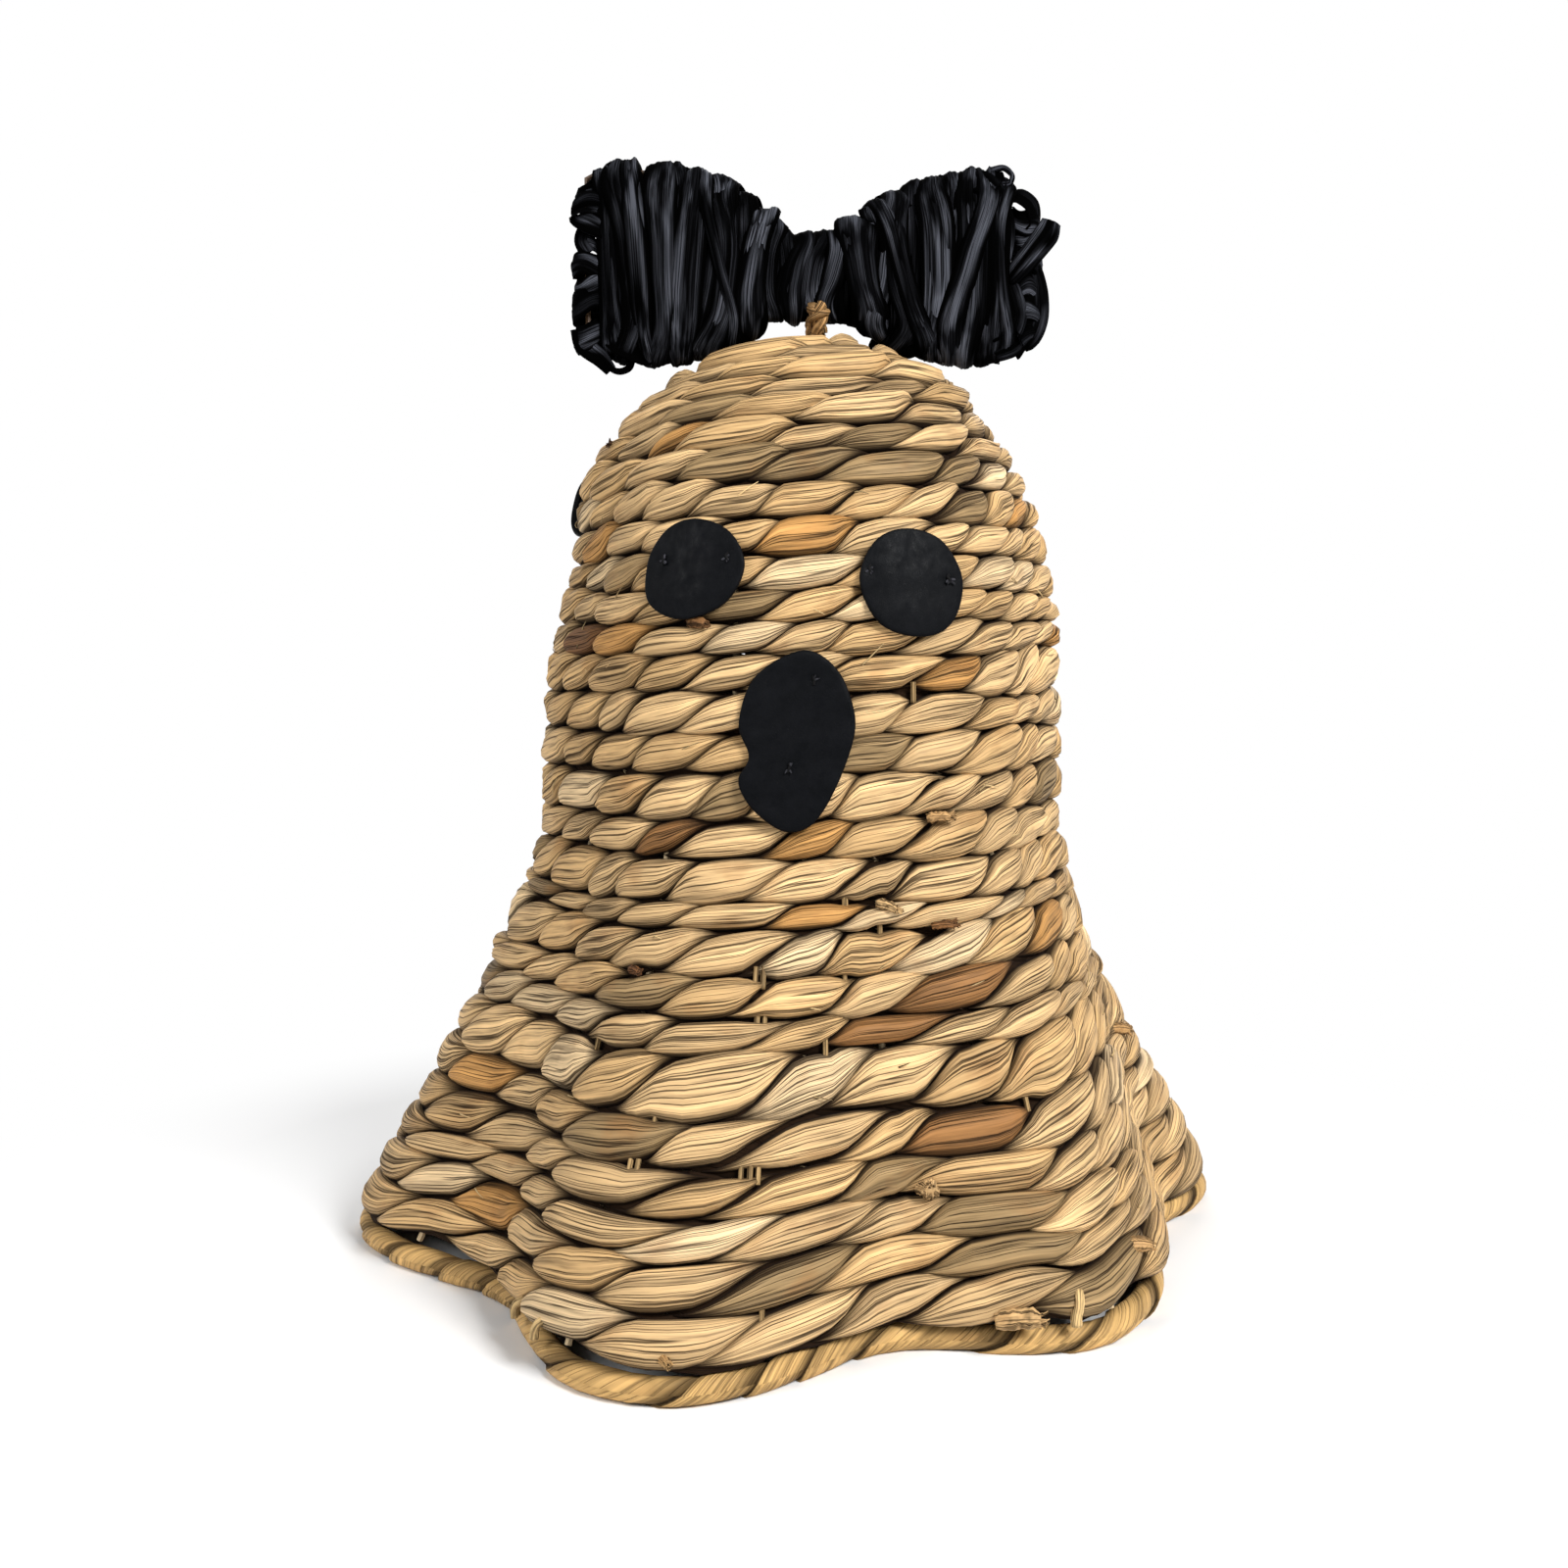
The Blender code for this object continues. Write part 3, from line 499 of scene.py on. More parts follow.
def corner_ridge(azimuth, length):
    beside = azimuth - 360 * np.round(azimuth / 360) - np.interp(length, RIDGE_LENGTHS, RIDGE_AZIMUTHS)
    fade = np.clip((RIDGE_TOP - length) / RIDGE_FADE, 0, 1)
    return RIDGE_HEIGHT * np.exp(-abs(beside / RIDGE_SPREAD) ** 1.4) * fade


def leaf_mesh(bag, verts, side, starts, steps, share, tint, painted_shading):
    """Joins each leaf's rings into a closed lens, with its strand places."""
    twists, columns, around = verts.shape[:3]
    leaf = np.arange(twists)[:, None, None] * columns * around
    i = np.arange(columns - 1)[None, :, None] * around
    j = np.arange(around)[None, None]
    ahead = (j + 1) % around
    quads = np.stack((leaf + i + j, leaf + i + around + j, leaf + i + around + ahead, leaf + i + ahead), -1)
    u = starts[:, 0, None, None] + steps[:, None, None] * share[None, :, None] + 0 * j
    v = starts[:, 1, None, None] + LEAF_UV_WIDTH * np.arange(around + 1) / around + 0 * u[..., :1]
    corners = [np.stack((u[:, a:columns - 1 + a], v[:, :columns - 1, b:around + b]), -1)
               for a, b in ((0, 0), (1, 0), (1, 1), (0, 1))]
    caps = []
    for first in range(0, twists * columns * around, columns * around):
        ends = (range(around - 1, -1, -1), range((columns - 1) * around, columns * around))
        caps += [[first + corner for corner in list(end)[::side]] for end in ends]
    bag.add(verts, quads[..., ::side], np.stack(corners[::side], 3), tint[:, None, None], painted_shading, caps)


def leaf_seams(row, side, random, offset, loose):
    """Azimuths of each leaf's columns, their share of its length, that length, and its middle and
    half width across the row."""
    twists = ROW_TWISTS[row]
    columns = (LEAF_STEPS if side > 0 else BACK_STEPS)[0]
    seam = np.arange(twists) + 0.5 + random.uniform(-SEAM_JITTER, SEAM_JITTER, twists)
    spread = random.uniform(*SEAM_SPREAD, twists)
    before, before_spread = np.roll(seam, 1), np.roll(spread, 1)
    before[0] -= twists
    share = np.linspace(0, 1, columns)
    share = 0.5 * share + 0.25 * (1 - np.cos(np.pi * share))
    share = LEAF_END_INSET + (1 - 2 * LEAF_END_INSET) * share
    start, end = before - before_spread, seam + spread
    u = start[:, None] + (end - start)[:, None] * share
    arch = random.uniform(*(LEAF_ARCH if side > 0 else BACK_ARCH), (twists, 1))
    low, high = leaf_bounds(u, before[:, None], before_spread[:, None], seam[:, None], spread[:, None], arch)
    drift = random.normal(0, LEAF_DRIFT + 0.07 * loose, (twists, 1))
    azimuth = u * (360.0 / twists) + offset + 180
    if side > 0:
        low, high = open_seams(row, azimuth, low, high)
    centre = (low + high) / 2 * side + drift
    widening = random.normal(1.0, 0.07, (twists, 1)).clip(*LEAF_WIDTHS)
    wide = np.maximum(high - low, 0.02) / 2 * widening + LEAF_LAP
    return azimuth, share, end - start, centre, wide


def leaf_row(bag, row, side, random, offset, tint):
    """One row's leaves on one side: each a pointed lens over one stake, outside or inside."""
    twists = ROW_TWISTS[row]
    across = (LEAF_STEPS if side > 0 else BACK_STEPS)[1]
    middle = row_edges(np.arange(360.0))[:, row:row + 2].mean()
    ring_radius = np.interp(middle, LENGTHS, RADII)
    shallow = min(1.0, 0.8 + 0.2 * ring_radius / 0.05)
    loose = min(1.0, max(0.0, (row - LOOSE_ROW) / 4))
    azimuth, share, reach, centre, wide = leaf_seams(row, side, random, offset, loose)
    swell = np.minimum(1, wide / 0.66)[..., None] ** 0.62

    turn = np.radians(np.linspace(-90, 90, across))
    over = signed_power(np.sin(turn), 2 / LEAF_FLATNESS)
    dome = abs(np.cos(turn)) ** (2 / LEAF_FLATNESS)
    fold, strength = leaf_folds(random, twists, across, smooth(share))
    crest = random.normal(0.97, 0.10 + 0.12 * loose, (twists, 1)).clip(0.7, 1.1 + 0.1 * loose)
    tall = (ROPE_DEPTH if side > 0 else BACK_DEPTH) * shallow * (crest[..., None] * swell)
    front = tall * dome + fold * strength * FOLD_DEPTH * shallow * dome ** 0.5 * swell
    under = np.linspace(0, 1, UNDER_STEPS)[1:-1]
    behind = -BACK_SKIN * np.sin(np.pi * under) * np.ones((*azimuth.shape, 1)) * swell
    height = np.concatenate((front, behind), -1)
    place = np.concatenate((over, 1 - 2 * under))

    v = centre[..., None] + wide[..., None] * place
    edges = row_edges(azimuth.reshape(-1))
    lower, upper = (edges[:, at].reshape(azimuth.shape) for at in (row, row + 1))
    length = (lower + upper)[..., None] / 2 + (upper - lower)[..., None] / 2 * v
    length = np.clip(length, 0.0005, LENGTHS[-1] - 0.0006)
    azimuth = np.broadcast_to(azimuth[..., None], v.shape)
    rise = height * side + ROPE_MIDDLE + corner_ridge(azimuth, length) * (side > 0)
    point, _, out, _ = wall_frame(azimuth, length)

    # Painted shade: darker along the valleys of the pleats and where each leaf sinks into the seams round it
    seam_shade = np.clip((SHADE_FROM * shallow - (rise - ROPE_MIDDLE) * side) / SHADE_OVER, 0, 1) ** 1.2
    painted_shading = np.concatenate((fold * strength, np.zeros(behind.shape)), -1) * 0.55 - 4.0 * seam_shade
    steps = reach * (2 * np.pi * ring_radius / twists)
    starts = random.uniform(0, 4, (twists, 2))
    leaf_mesh(bag, point + out * rise[..., None], side, starts, steps, share, tint, painted_shading)


def leaf_tints(row, twists, offset, random):
    tint = np.zeros((twists, 3))
    for at in range(twists):
        pick = random.choice(len(PALETTE_ODDS), p=[odd for _, odd in PALETTE_ODDS])
        tint[at] = linear(PALETTE[PALETTE_ODDS[pick][0]])
    tint *= random.normal(1, 0.08, (twists, 1)).clip(0.82, 1.18)
    for azimuth, mark_row, name in LEAF_MARKS:
        if mark_row == row:
            tint[int(round((azimuth - offset - 180) / (360.0 / twists))) % twists] = linear(PALETTE[name])
    return tint


def weave_rows(first, last, *replaces):
    """Rows of twined leaf, from the outside and from the inside."""
    bag = Collector()
    for row in range(first, last):
        random = np.random.RandomState(100 + row)
        twists = ROW_TWISTS[row]
        offset = 0.0 if twists == ROW_TWISTS[0] else random.uniform(0, 360.0 / twists)
        tint = leaf_tints(row, twists, offset, random)
        for side in (1, -1):
            leaf_row(bag, row, side, random, offset, tint)
    bag.build("weave_rows_%02d_%02d" % (first + 1, last), LEAF, "woven_leaf", *replaces)


weave_rows(*ROW_GROUPS[0], "woven_wall")
for rows in ROW_GROUPS[1:]:
    weave_rows(*rows)

# Strips and strands
# Strips: random strength of each one's painted highlight, step per layer, crown, painted shade at the edges,
# thickness, and steps between path points
STRIP_SHADES = (0.35, 1.5)
STRIP_LAYER = 0.0009
STRIP_CROWN = 0.0015
STRIP_EDGE_SHADE = 2.4
STRIP_THICKNESS = 0.0006
STRIP_FINENESS = 6


def eased(values, u):
    """Values given at whole u, eased between them, round a closed ring."""
    low = np.floor(u).astype(int)
    t = smooth(u - low)[:, None]
    here = values[low % len(values)]
    return here + (values[(low + 1) % len(values)] - here) * t


def catmull(values, at):
    """A smooth curve through values, at places counted from 0."""
    low = np.clip(np.floor(at).astype(int), 0, len(values) - 2)
    t = at - low
    padded = np.concatenate(([2 * values[0] - values[1]], values, [2 * values[-1] - values[-2]]))
    p0, p1, p2, p3 = (padded[low + k] for k in range(4))
    return 0.5 * (2 * p1 + (p2 - p0) * t + (2 * p0 - 5 * p1 + 4 * p2 - p3) * t ** 2
                  + (3 * p1 - p0 - 3 * p2 + p3) * t ** 3)


def smooth_path(path, fine):
    """A curve through the path's points, with fine steps for each, and the keys it runs over."""
    path = np.asarray(path, float)
    at = np.linspace(0, len(path) - 1, (len(path) - 1) * fine + 1)
    return np.stack([catmull(path[:, k], at) for k in range(3)], -1), np.arange(len(path)), at


def ribbon_section(across, under):
    """Across the strip from edge to edge on the outside, then back underneath."""
    place = np.concatenate((np.linspace(-0.5, 0.5, across), np.linspace(0.5, -0.5, under + 2)[1:-1]))
    below = np.concatenate((np.zeros(across), np.ones(under)))
    return place, below


def strip_relief(random, count, across, rough):
    """Lengthwise pleats, a few broad ones and fine fibres, that change slowly along a strip."""
    knots = max(3, count // 9)
    broad = random.normal(0, 1, (knots, 5))
    spots = np.linspace(0, 4, across)
    broad = np.stack([catmull(values, spots) for values in broad])
    fine = random.normal(0, 0.28, (knots, across))
    return eased(broad + fine, np.arange(count) / count * knots) * rough


def strip_grid(bag, verts, closed, span, width, random, relief, rough, place):
    # Painted shading: pleat ridges lighter and valleys darker, and painted shade at both edges
    painted_shading = relief / rough / 2 - STRIP_EDGE_SHADE * abs(2 * place) ** 5
    start = (random.uniform(0, 3), random.uniform(0, 3))
    bag.grid(verts, closed, span, width * 1.4 / len(place), start, random.uniform(*STRIP_SHADES), painted_shading)


def loop_ribbon(bag, centre, axis, a, b, width, seed, layer, lean, power, steps, rough, wobble, across, crown,
                pinch=0.0):
    """One strip of leaf wound once round an oblong of half sizes a and b."""
    random = np.random.RandomState(seed)
    centre, axis, a, b = (np.asarray(v, float) for v in (centre, axis, a, b))
    t = np.linspace(0, 2 * np.pi, steps, endpoint=False) + 0.3
    ca, sb = signed_power(np.cos(t), 2 / power), signed_power(np.sin(t), 2 / power)
    na, nb = signed_power(ca, power - 1), signed_power(sb, power - 1)
    la, lb = np.linalg.norm(a), np.linalg.norm(b)
    normal = unit(na[:, None] * a / la ** 2 + nb[:, None] * b / lb ** 2)
    place, below = ribbon_section(across, 4)
    relief = np.zeros((steps, len(place)))
    relief[:, :across] = strip_relief(random, steps, across, rough)
    relief[:, across:] = relief[:, [0]] * 0.3
    sway = sum(random.normal(0, wobble) * np.cos(k * t + random.uniform(0, 6.28)) for k in (1, 2, 3))
    swell = 1 + 0.12 * np.cos(t * 2 + random.uniform(0, 6.28))
    swell = swell + 0.08 * np.cos(t * 3 + random.uniform(0, 6.28)) - pinch * abs(sb) ** 4
    offset = layer * STRIP_LAYER + crown * (1 - (2 * place) ** 2) - below * STRIP_THICKNESS
    offset = offset[None] + relief
    along = place[None] * width * swell[:, None] + (lean[0] * ca + lean[1] * sb + sway)[:, None]
    middle = centre + a * ca[:, None] + b * sb[:, None]
    verts = middle[:, None] + axis * along[..., None] + normal[:, None] * offset[..., None]
    strip_grid(bag, verts, True, 4 * (la + lb) / steps, width, random, relief, rough, place)


def open_strip(bag, path, width, side, seed, fold, thick=0.0007, rough=0.0002, across=11):
    """A flat strip along a path, with its width lying along side."""
    random = np.random.RandomState(seed)
    path, keys, at = smooth_path(path, STRIP_FINENESS)
    side = unit(np.broadcast_to(np.asarray(side, float), path.shape))
    width = np.interp(at, keys, np.broadcast_to(np.asarray(width, float), len(keys)))
    ahead = unit(np.gradient(path, axis=0))
    normal = unit(np.cross(side, ahead))
    side = np.cross(ahead, normal)
    place, below = ribbon_section(across, 5)
    relief = np.zeros((len(path), len(place)))
    relief[:, :across] = strip_relief(random, len(path), across, rough)
    offset = (fold * (1 - (2 * place) ** 2))[None] + relief - (below * thick)[None]
    verts = path[:, None] + side[:, None] * (place[None] * width[:, None])[..., None]
    verts = verts + normal[:, None] * offset[..., None]
    span = np.linalg.norm(np.diff(path, axis=0), axis=1).mean()
    strip_grid(bag, verts[:, ::-1], False, span, width.mean(), random, relief, rough, place)


def tube(bag, path, radius, seed, sides, rough, fine, tint, lumps=0.0):
    """A fibrous round strand along a path, closed at both ends."""
    random = np.random.RandomState(seed)
    path, keys, at = smooth_path(path, fine)
    radius = np.interp(at, keys, np.broadcast_to(np.asarray(radius, float), len(keys)))
    ahead = unit(np.gradient(path, axis=0))
    helper = np.array((0.13, 0.98, 0.17)) if abs(ahead[:, 1]).mean() < 0.8 else np.array((1.0, 0.1, 0.1))
    side = unit(np.cross(ahead, helper))
    other = np.cross(ahead, side)
    angle = np.linspace(0, 2 * np.pi, sides, endpoint=False)
    relief = 1 + rough * random.normal(0, 1, (1, sides)) + lumps * random.normal(0, 1, (len(path), sides))
    reach = radius[:, None] * relief
    verts = path[:, None] + side[:, None] * (np.cos(angle) * reach)[..., None]
    verts = verts + other[:, None] * (np.sin(angle) * reach)[..., None]
    span = np.linalg.norm(np.diff(path, axis=0), axis=1).mean()
    start = (random.uniform(0, 3), random.uniform(0, 3))
    # Low places in the relief get painted shade through the shading attribute
    bag.grid(verts[:, ::-1], False, span, radius.mean() * 6.3 / sides, start, tint, (relief - 1) * 4)


# Hem: a hoop wound with one long flat leaf, each turn lapping the one before
HEM_TURNS_OF_LEAF = 31
HEM_SIDES = 22
HEM_LAP = 0.0009
HEM_CORE = 0.0034
HEM_LIMIT = 0.0045
HEM_TINT = (206, 166, 106)
HEM_UV_STEPS = (0.025 / HEM_SIDES, 0.0019)
# Across one turn: share of its width, height of the lap, and painted shade
HEM_ACROSS = ((0.0, -0.2, -3.0), (0.03, 1.0, -0.2), (0.2, 0.95, 0.3), (0.4, 0.8, 0.2), (0.6, 0.6, 0.0),
              (0.8, 0.35, -0.4), (1.0, 0.0, -1.8))


def hem_binding():
    random = np.random.RandomState(5)
    dense = np.linspace(0, 360, 2881)
    x = AXIS_X + hem_radius(dense) * np.sin(np.radians(dense))
    y = AXIS_Y - hem_radius(dense) * np.cos(np.radians(dense))
    lengths = np.concatenate(([0], np.cumsum(np.hypot(np.diff(x), np.diff(y)))))
    share = random.uniform(0.55, 1.5, HEM_TURNS_OF_LEAF)
    starts = np.concatenate(([0], np.cumsum(share))) / share.sum()
    across = len(HEM_ACROSS)
    columns = HEM_TURNS_OF_LEAF * across
    turn = np.repeat(np.arange(HEM_TURNS_OF_LEAF), across)
    fraction, lift, shade = np.tile(np.array(HEM_ACROSS), (HEM_TURNS_OF_LEAF, 1)).T[:, :, None]
    psi = np.linspace(0, 2 * np.pi, HEM_SIDES, endpoint=False)
    sweep = psi[None] / (2 * np.pi)
    wide = (starts[turn + 1] - starts[turn])[:, None]
    after = np.append(starts, starts[1] + 1)
    wide_next = (after[turn + 2] - after[turn + 1])[:, None]
    at = starts[turn][:, None] + wide * (fraction * (1 - sweep) + sweep) + wide_next * fraction * sweep
    azimuth = np.interp(at % 1.0 * lengths[-1], lengths, dense)
    relief = random.normal(0, 1, (HEM_TURNS_OF_LEAF, HEM_SIDES))[turn] * 0.00006
    relief = relief + random.normal(0, 1, (HEM_TURNS_OF_LEAF, across)).reshape(-1)[:, None] * 0.00008
    lap = random.uniform(0.6, 1.4, HEM_TURNS_OF_LEAF)[turn][:, None]
    radius = np.minimum(HEM_CORE + HEM_LAP * lift * lap + relief, HEM_LIMIT)
    radial = hem_radius(azimuth) + radius * np.cos(psi)
    bearing = np.radians(azimuth)
    verts = np.stack((AXIS_X + radial * np.sin(bearing), AXIS_Y - radial * np.cos(bearing),
                      np.clip(HOOP_HEIGHT / 2 + radius * np.sin(psi), 0, 1)), -1)
    tints = np.array([linear(HEM_TINT) * random.uniform(0.84, 1.1) for _ in range(HEM_TURNS_OF_LEAF)])
    # Painted shade: each turn lighter where its lap stands high, darker where it tucks under the next
    tint = tints[turn] * (0.75 + 0.28 * lift)
    painted_shading = shade[:, 0] + random.normal(0, 0.25, columns)
    i = np.arange(HEM_SIDES)[:, None]
    j = np.arange(columns)[None]
    moved = np.where(i + 1 >= HEM_SIDES, across, 0)
    over = (i + 1) % HEM_SIDES * columns
    quads = np.stack((i * columns + j, i * columns + (j + 1) % columns, over + (j + 1 + moved) % columns,
                      over + (j + moved) % columns), -1)
    step_u, step_v = HEM_UV_STEPS
    uv = quad_uv(i * step_u + j // across * 0.21, j * step_v, step_u, step_v)[:, :, (0, 3, 2, 1)]
    bag = Collector()
    bag.add(verts.transpose(1, 0, 2), quads, uv, tint[None], painted_shading[None])
    bag.build("hem_binding_leaf", HEM_LEAF, "hem_binding", "hem_hoop")


hem_binding()

# Bow: strips of black raffia wound round a wire frame, in mm:
# x at top, x at bottom, width, top z, bottom z, layer
BOW_Y = 0.0
BOW_DEPTH = 0.0046
BOW_MIDDLE_DEPTH = 0.0036
STRIP_WIDENING = 1.24
BOW_STRIPS = {
    "bow_wrap_left": (
        (-61.6, -59.4, 6.4, 350.8, 292.4, 0.6), (-57.6, -55.0, 7.2, 353.4, 289.8, 1.8),
        (-52.8, -49.0, 6.2, 353.9, 288.6, 2.8), (-43.4, -45.2, 8.8, 353.0, 288.4, 2.4),
        (-38.0, -39.4, 7.6, 352.2, 288.6, 1.0), (-33.4, -38.2, 9.0, 350.6, 289.2, 3.0),
        (-26.6, -30.6, 9.8, 348.7, 290.4, 1.6), (-21.4, -29.4, 8.0, 346.6, 290.6, 3.4),
        (-18.0, -20.6, 9.6, 343.8, 294.6, 2.0), (-12.4, -18.2, 8.6, 338.6, 296.6, 3.4),
        (-9.6, -10.4, 8.0, 335.0, 302.4, 1.4), (-31.0, -21.4, 4.6, 349.6, 293.4, 3.8)),
    "bow_wrap_middle": (
        (-5.8, -6.0, 8.4, 331.4, 304.2, 1.2), (0.8, -2.2, 8.0, 331.2, 302.8, 2.6),
        (7.4, 4.4, 10.6, 331.4, 302.4, 1.4), (13.4, 9.0, 7.6, 331.8, 302.8, 3.2),
        (14.0, 14.4, 6.0, 332.2, 302.4, 1.2)),
    "bow_wrap_right": (
        (17.6, 21.0, 10.4, 335.6, 300.6, 3.2), (25.6, 24.6, 9.0, 338.8, 297.0, 1.4),
        (29.8, 32.4, 8.8, 343.6, 292.6, 2.8), (36.8, 35.4, 8.2, 347.0, 291.6, 1.2),
        (42.2, 43.6, 8.4, 348.4, 290.3, 2.8), (49.0, 46.6, 9.2, 349.6, 289.5, 1.4),
        (55.2, 53.4, 9.6, 350.6, 288.9, 2.8), (61.4, 59.6, 8.8, 350.6, 288.9, 1.4),
        (64.6, 65.4, 5.4, 347.6, 290.8, 2.2), (26.6, 39.4, 6.4, 340.8, 290.8, 4.0),
        (59.6, 48.2, 7.0, 350.4, 289.2, 4.0)),
}
# Plainer strips beneath: pitch, width, and how far inside the others, with the gap in the left wing
UNDER_PITCH = 4.9
UNDER_WIDTH = 7.0
UNDER_INSET = 2.4
BOW_GAP = (-50.6, -46.6)


def bow_wraps():
    seed = 300
    for name, strips in BOW_STRIPS.items():
        bag = Collector()
        depth = BOW_MIDDLE_DEPTH if name == "bow_wrap_middle" else BOW_DEPTH
        tops = np.array(sorted((strip[0], strip[3]) for strip in strips))
        bottoms = np.array(sorted((strip[1], strip[4]) for strip in strips))
        left, right = max(tops[0, 0], bottoms[0, 0]), min(tops[-1, 0], bottoms[-1, 0])
        under = [(x, x, UNDER_WIDTH, np.interp(x, *tops.T) - UNDER_INSET,
                  np.interp(x, *bottoms.T) + UNDER_INSET, 0.0)
                 for x in np.arange(left, right + 0.1, UNDER_PITCH) if not BOW_GAP[0] < x < BOW_GAP[1]]
        for x0, x1, width, high, low, layer in under + list(strips):
            seed += 1
            middle = ((x0 + x1) / 2000, BOW_Y, (high + low) / 2000)
            tall = (high - low) / 2000 - layer * STRIP_LAYER - STRIP_CROWN * 0.8
            loop_ribbon(bag, middle, (1, 0, 0), (0, depth, 0), (0, 0, tall),
                        width / 1000 * STRIP_WIDENING, seed, layer, (0.0, (x0 - x1) / 2000), power=3.2,
                        steps=72, rough=0.00052, wobble=0.0005 + 0.00016 * layer, across=17,
                        crown=STRIP_CROWN, pinch=0.1)
        bag.build(name + "_strips", RAFFIA, "black_raffia", name)


bow_wraps()

# Bow ends, in mm: loose strands by their x, y and z at each point, their widths and their face's way
LEFT_STRANDS = (
    (((-61.8, -2.5, 338.4), (-66.4, -5.6, 339.2), (-70.6, -5.8, 337.4), (-71.4, -4.6, 334.6),
      (-67.2, -6.2, 332.6), (-61.6, -5.2, 330.2)), (6.2, 7.4, 5.2, 4.6, 6.6, 6.0), (0.1, 0.1, 1.0)),
    (((-60.8, -3.0, 350.8), (-63.6, -2.4, 348.4), (-66.4, -1.8, 345.2), (-68.4, -1.6, 341.6)),
     (5.4, 4.6, 4.0, 4.6), (0.6, 0.1, 0.6)),
    (((-64.4, -4.6, 334.6), (-68.2, -4.8, 331.4), (-69.6, -4.4, 327.4), (-67.6, -4.6, 323.6)),
     (4.6, 4.2, 4.6, 4.8), (0.8, 0.1, 0.3)),
    (((-69.8, -3.0, 300.2), (-68.6, -4.4, 294.6), (-63.8, -4.6, 290.4), (-60.6, -3.2, 286.8)),
     (7.6, 7.0, 5.6, 4.0), (0.8, 0.1, 0.5)),
    (((-61.4, -4.0, 297.2), (-57.6, -5.0, 294.2), (-52.4, -5.4, 291.6), (-47.2, -4.6, 289.6)),
     (5.0, 5.8, 5.6, 3.6), (0.3, 0.1, 1.0)),
)
RIGHT_STRANDS = (
    (((53.4, -5.6, 345.4), (58.2, -7.2, 344.6), (62.6, -7.0, 340.8), (66.0, -5.6, 336.2)),
     (6.6, 8.0, 7.4, 5.0), (0.5, 0.1, 0.85)),
    (((60.8, -3.4, 350.2), (65.2, -3.8, 350.8), (68.2, -3.8, 348.2), (67.2, -4.6, 344.8),
      (64.4, -5.2, 344.2)),
     (4.0, 4.4, 3.8, 3.4, 2.6), (0.2, 1.0, 0.2)),
    (((66.2, -3.4, 341.2), (70.4, -4.0, 341.4), (74.2, -3.6, 338.6), (75.0, -2.6, 334.2),
      (72.8, -3.4, 330.2)),
     (5.4, 6.4, 6.4, 6.0, 4.6), (0.6, 0.4, 0.8)),
    (((70.8, -3.0, 325.4), (74.6, -3.4, 319.4), (76.2, -3.2, 312.0), (76.0, -3.4, 304.2),
      (73.6, -4.0, 298.0), (68.6, -4.6, 294.0), (62.8, -4.8, 291.4)),
     (4.6, 5.6, 7.4, 8.4, 8.6, 7.4, 5.2), (0.7, 0.1, 0.5)),
    (((65.6, -4.0, 318.4), (68.0, -5.0, 311.2), (69.4, -5.2, 304.4), (67.8, -5.2, 298.4),
      (62.6, -5.0, 294.6)),
     (4.4, 6.2, 7.2, 6.6, 4.4), (0.8, 0.1, 0.4)),
    (((64.8, -3.2, 338.6), (66.4, -4.0, 331.8), (66.0, -4.2, 324.4), (64.6, -4.0, 318.0)),
     (6.0, 5.2, 4.6, 4.4), (1.0, 0.1, 0.1)),
)
STRAND_END = (((67.2, -4.2, 315.0), (70.8, -6.2, 319.2), (74.8, -6.6, 324.0), (78.6, -5.6, 329.0),
               (80.4, -4.4, 333.4)), (5.6, 7.0, 7.8, 8.2, 6.4), (0.80, -0.1, -0.62))
LOOP_TURN = (2.3, 7.3)


def middle_x(name):
    low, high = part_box(name)
    return (low.x + high.x) / 2


def bar_wraps(bag, x, low, high, radius, count, seed):
    """Turns of strip wound round an upright bar, each lapping the one before."""
    random = np.random.RandomState(seed)
    edges = np.cumsum(random.uniform(0.6, 1.4, count))
    edges = low + (high - low) * (edges - edges[0] * 0.5) / edges[-1]
    for k, z in enumerate(edges):
        centre = (x + random.normal(0, 0.0003), BOW_Y, z)
        width = (high - low) / count * random.uniform(1.1, 1.4)
        lean = (random.normal(0, 0.0016), random.normal(0, 0.0016))
        loop_ribbon(bag, centre, (0, 0, 1), (radius, 0, 0), (0, radius, 0), width, seed + k,
                    0.3 + 0.6 * (k % 2), lean, power=2.0, steps=40, rough=0.00022, wobble=0.0003,
                    across=13, crown=0.0010)


def loose_strands(bag, strands, seed):
    for k, (path, widths, side) in enumerate(strands):
        path, widths = np.array(path) / 1000, np.array(widths) / 1000
        open_strip(bag, path, widths, side, seed + k, fold=0.0012, thick=0.0010, rough=0.00022, across=13)


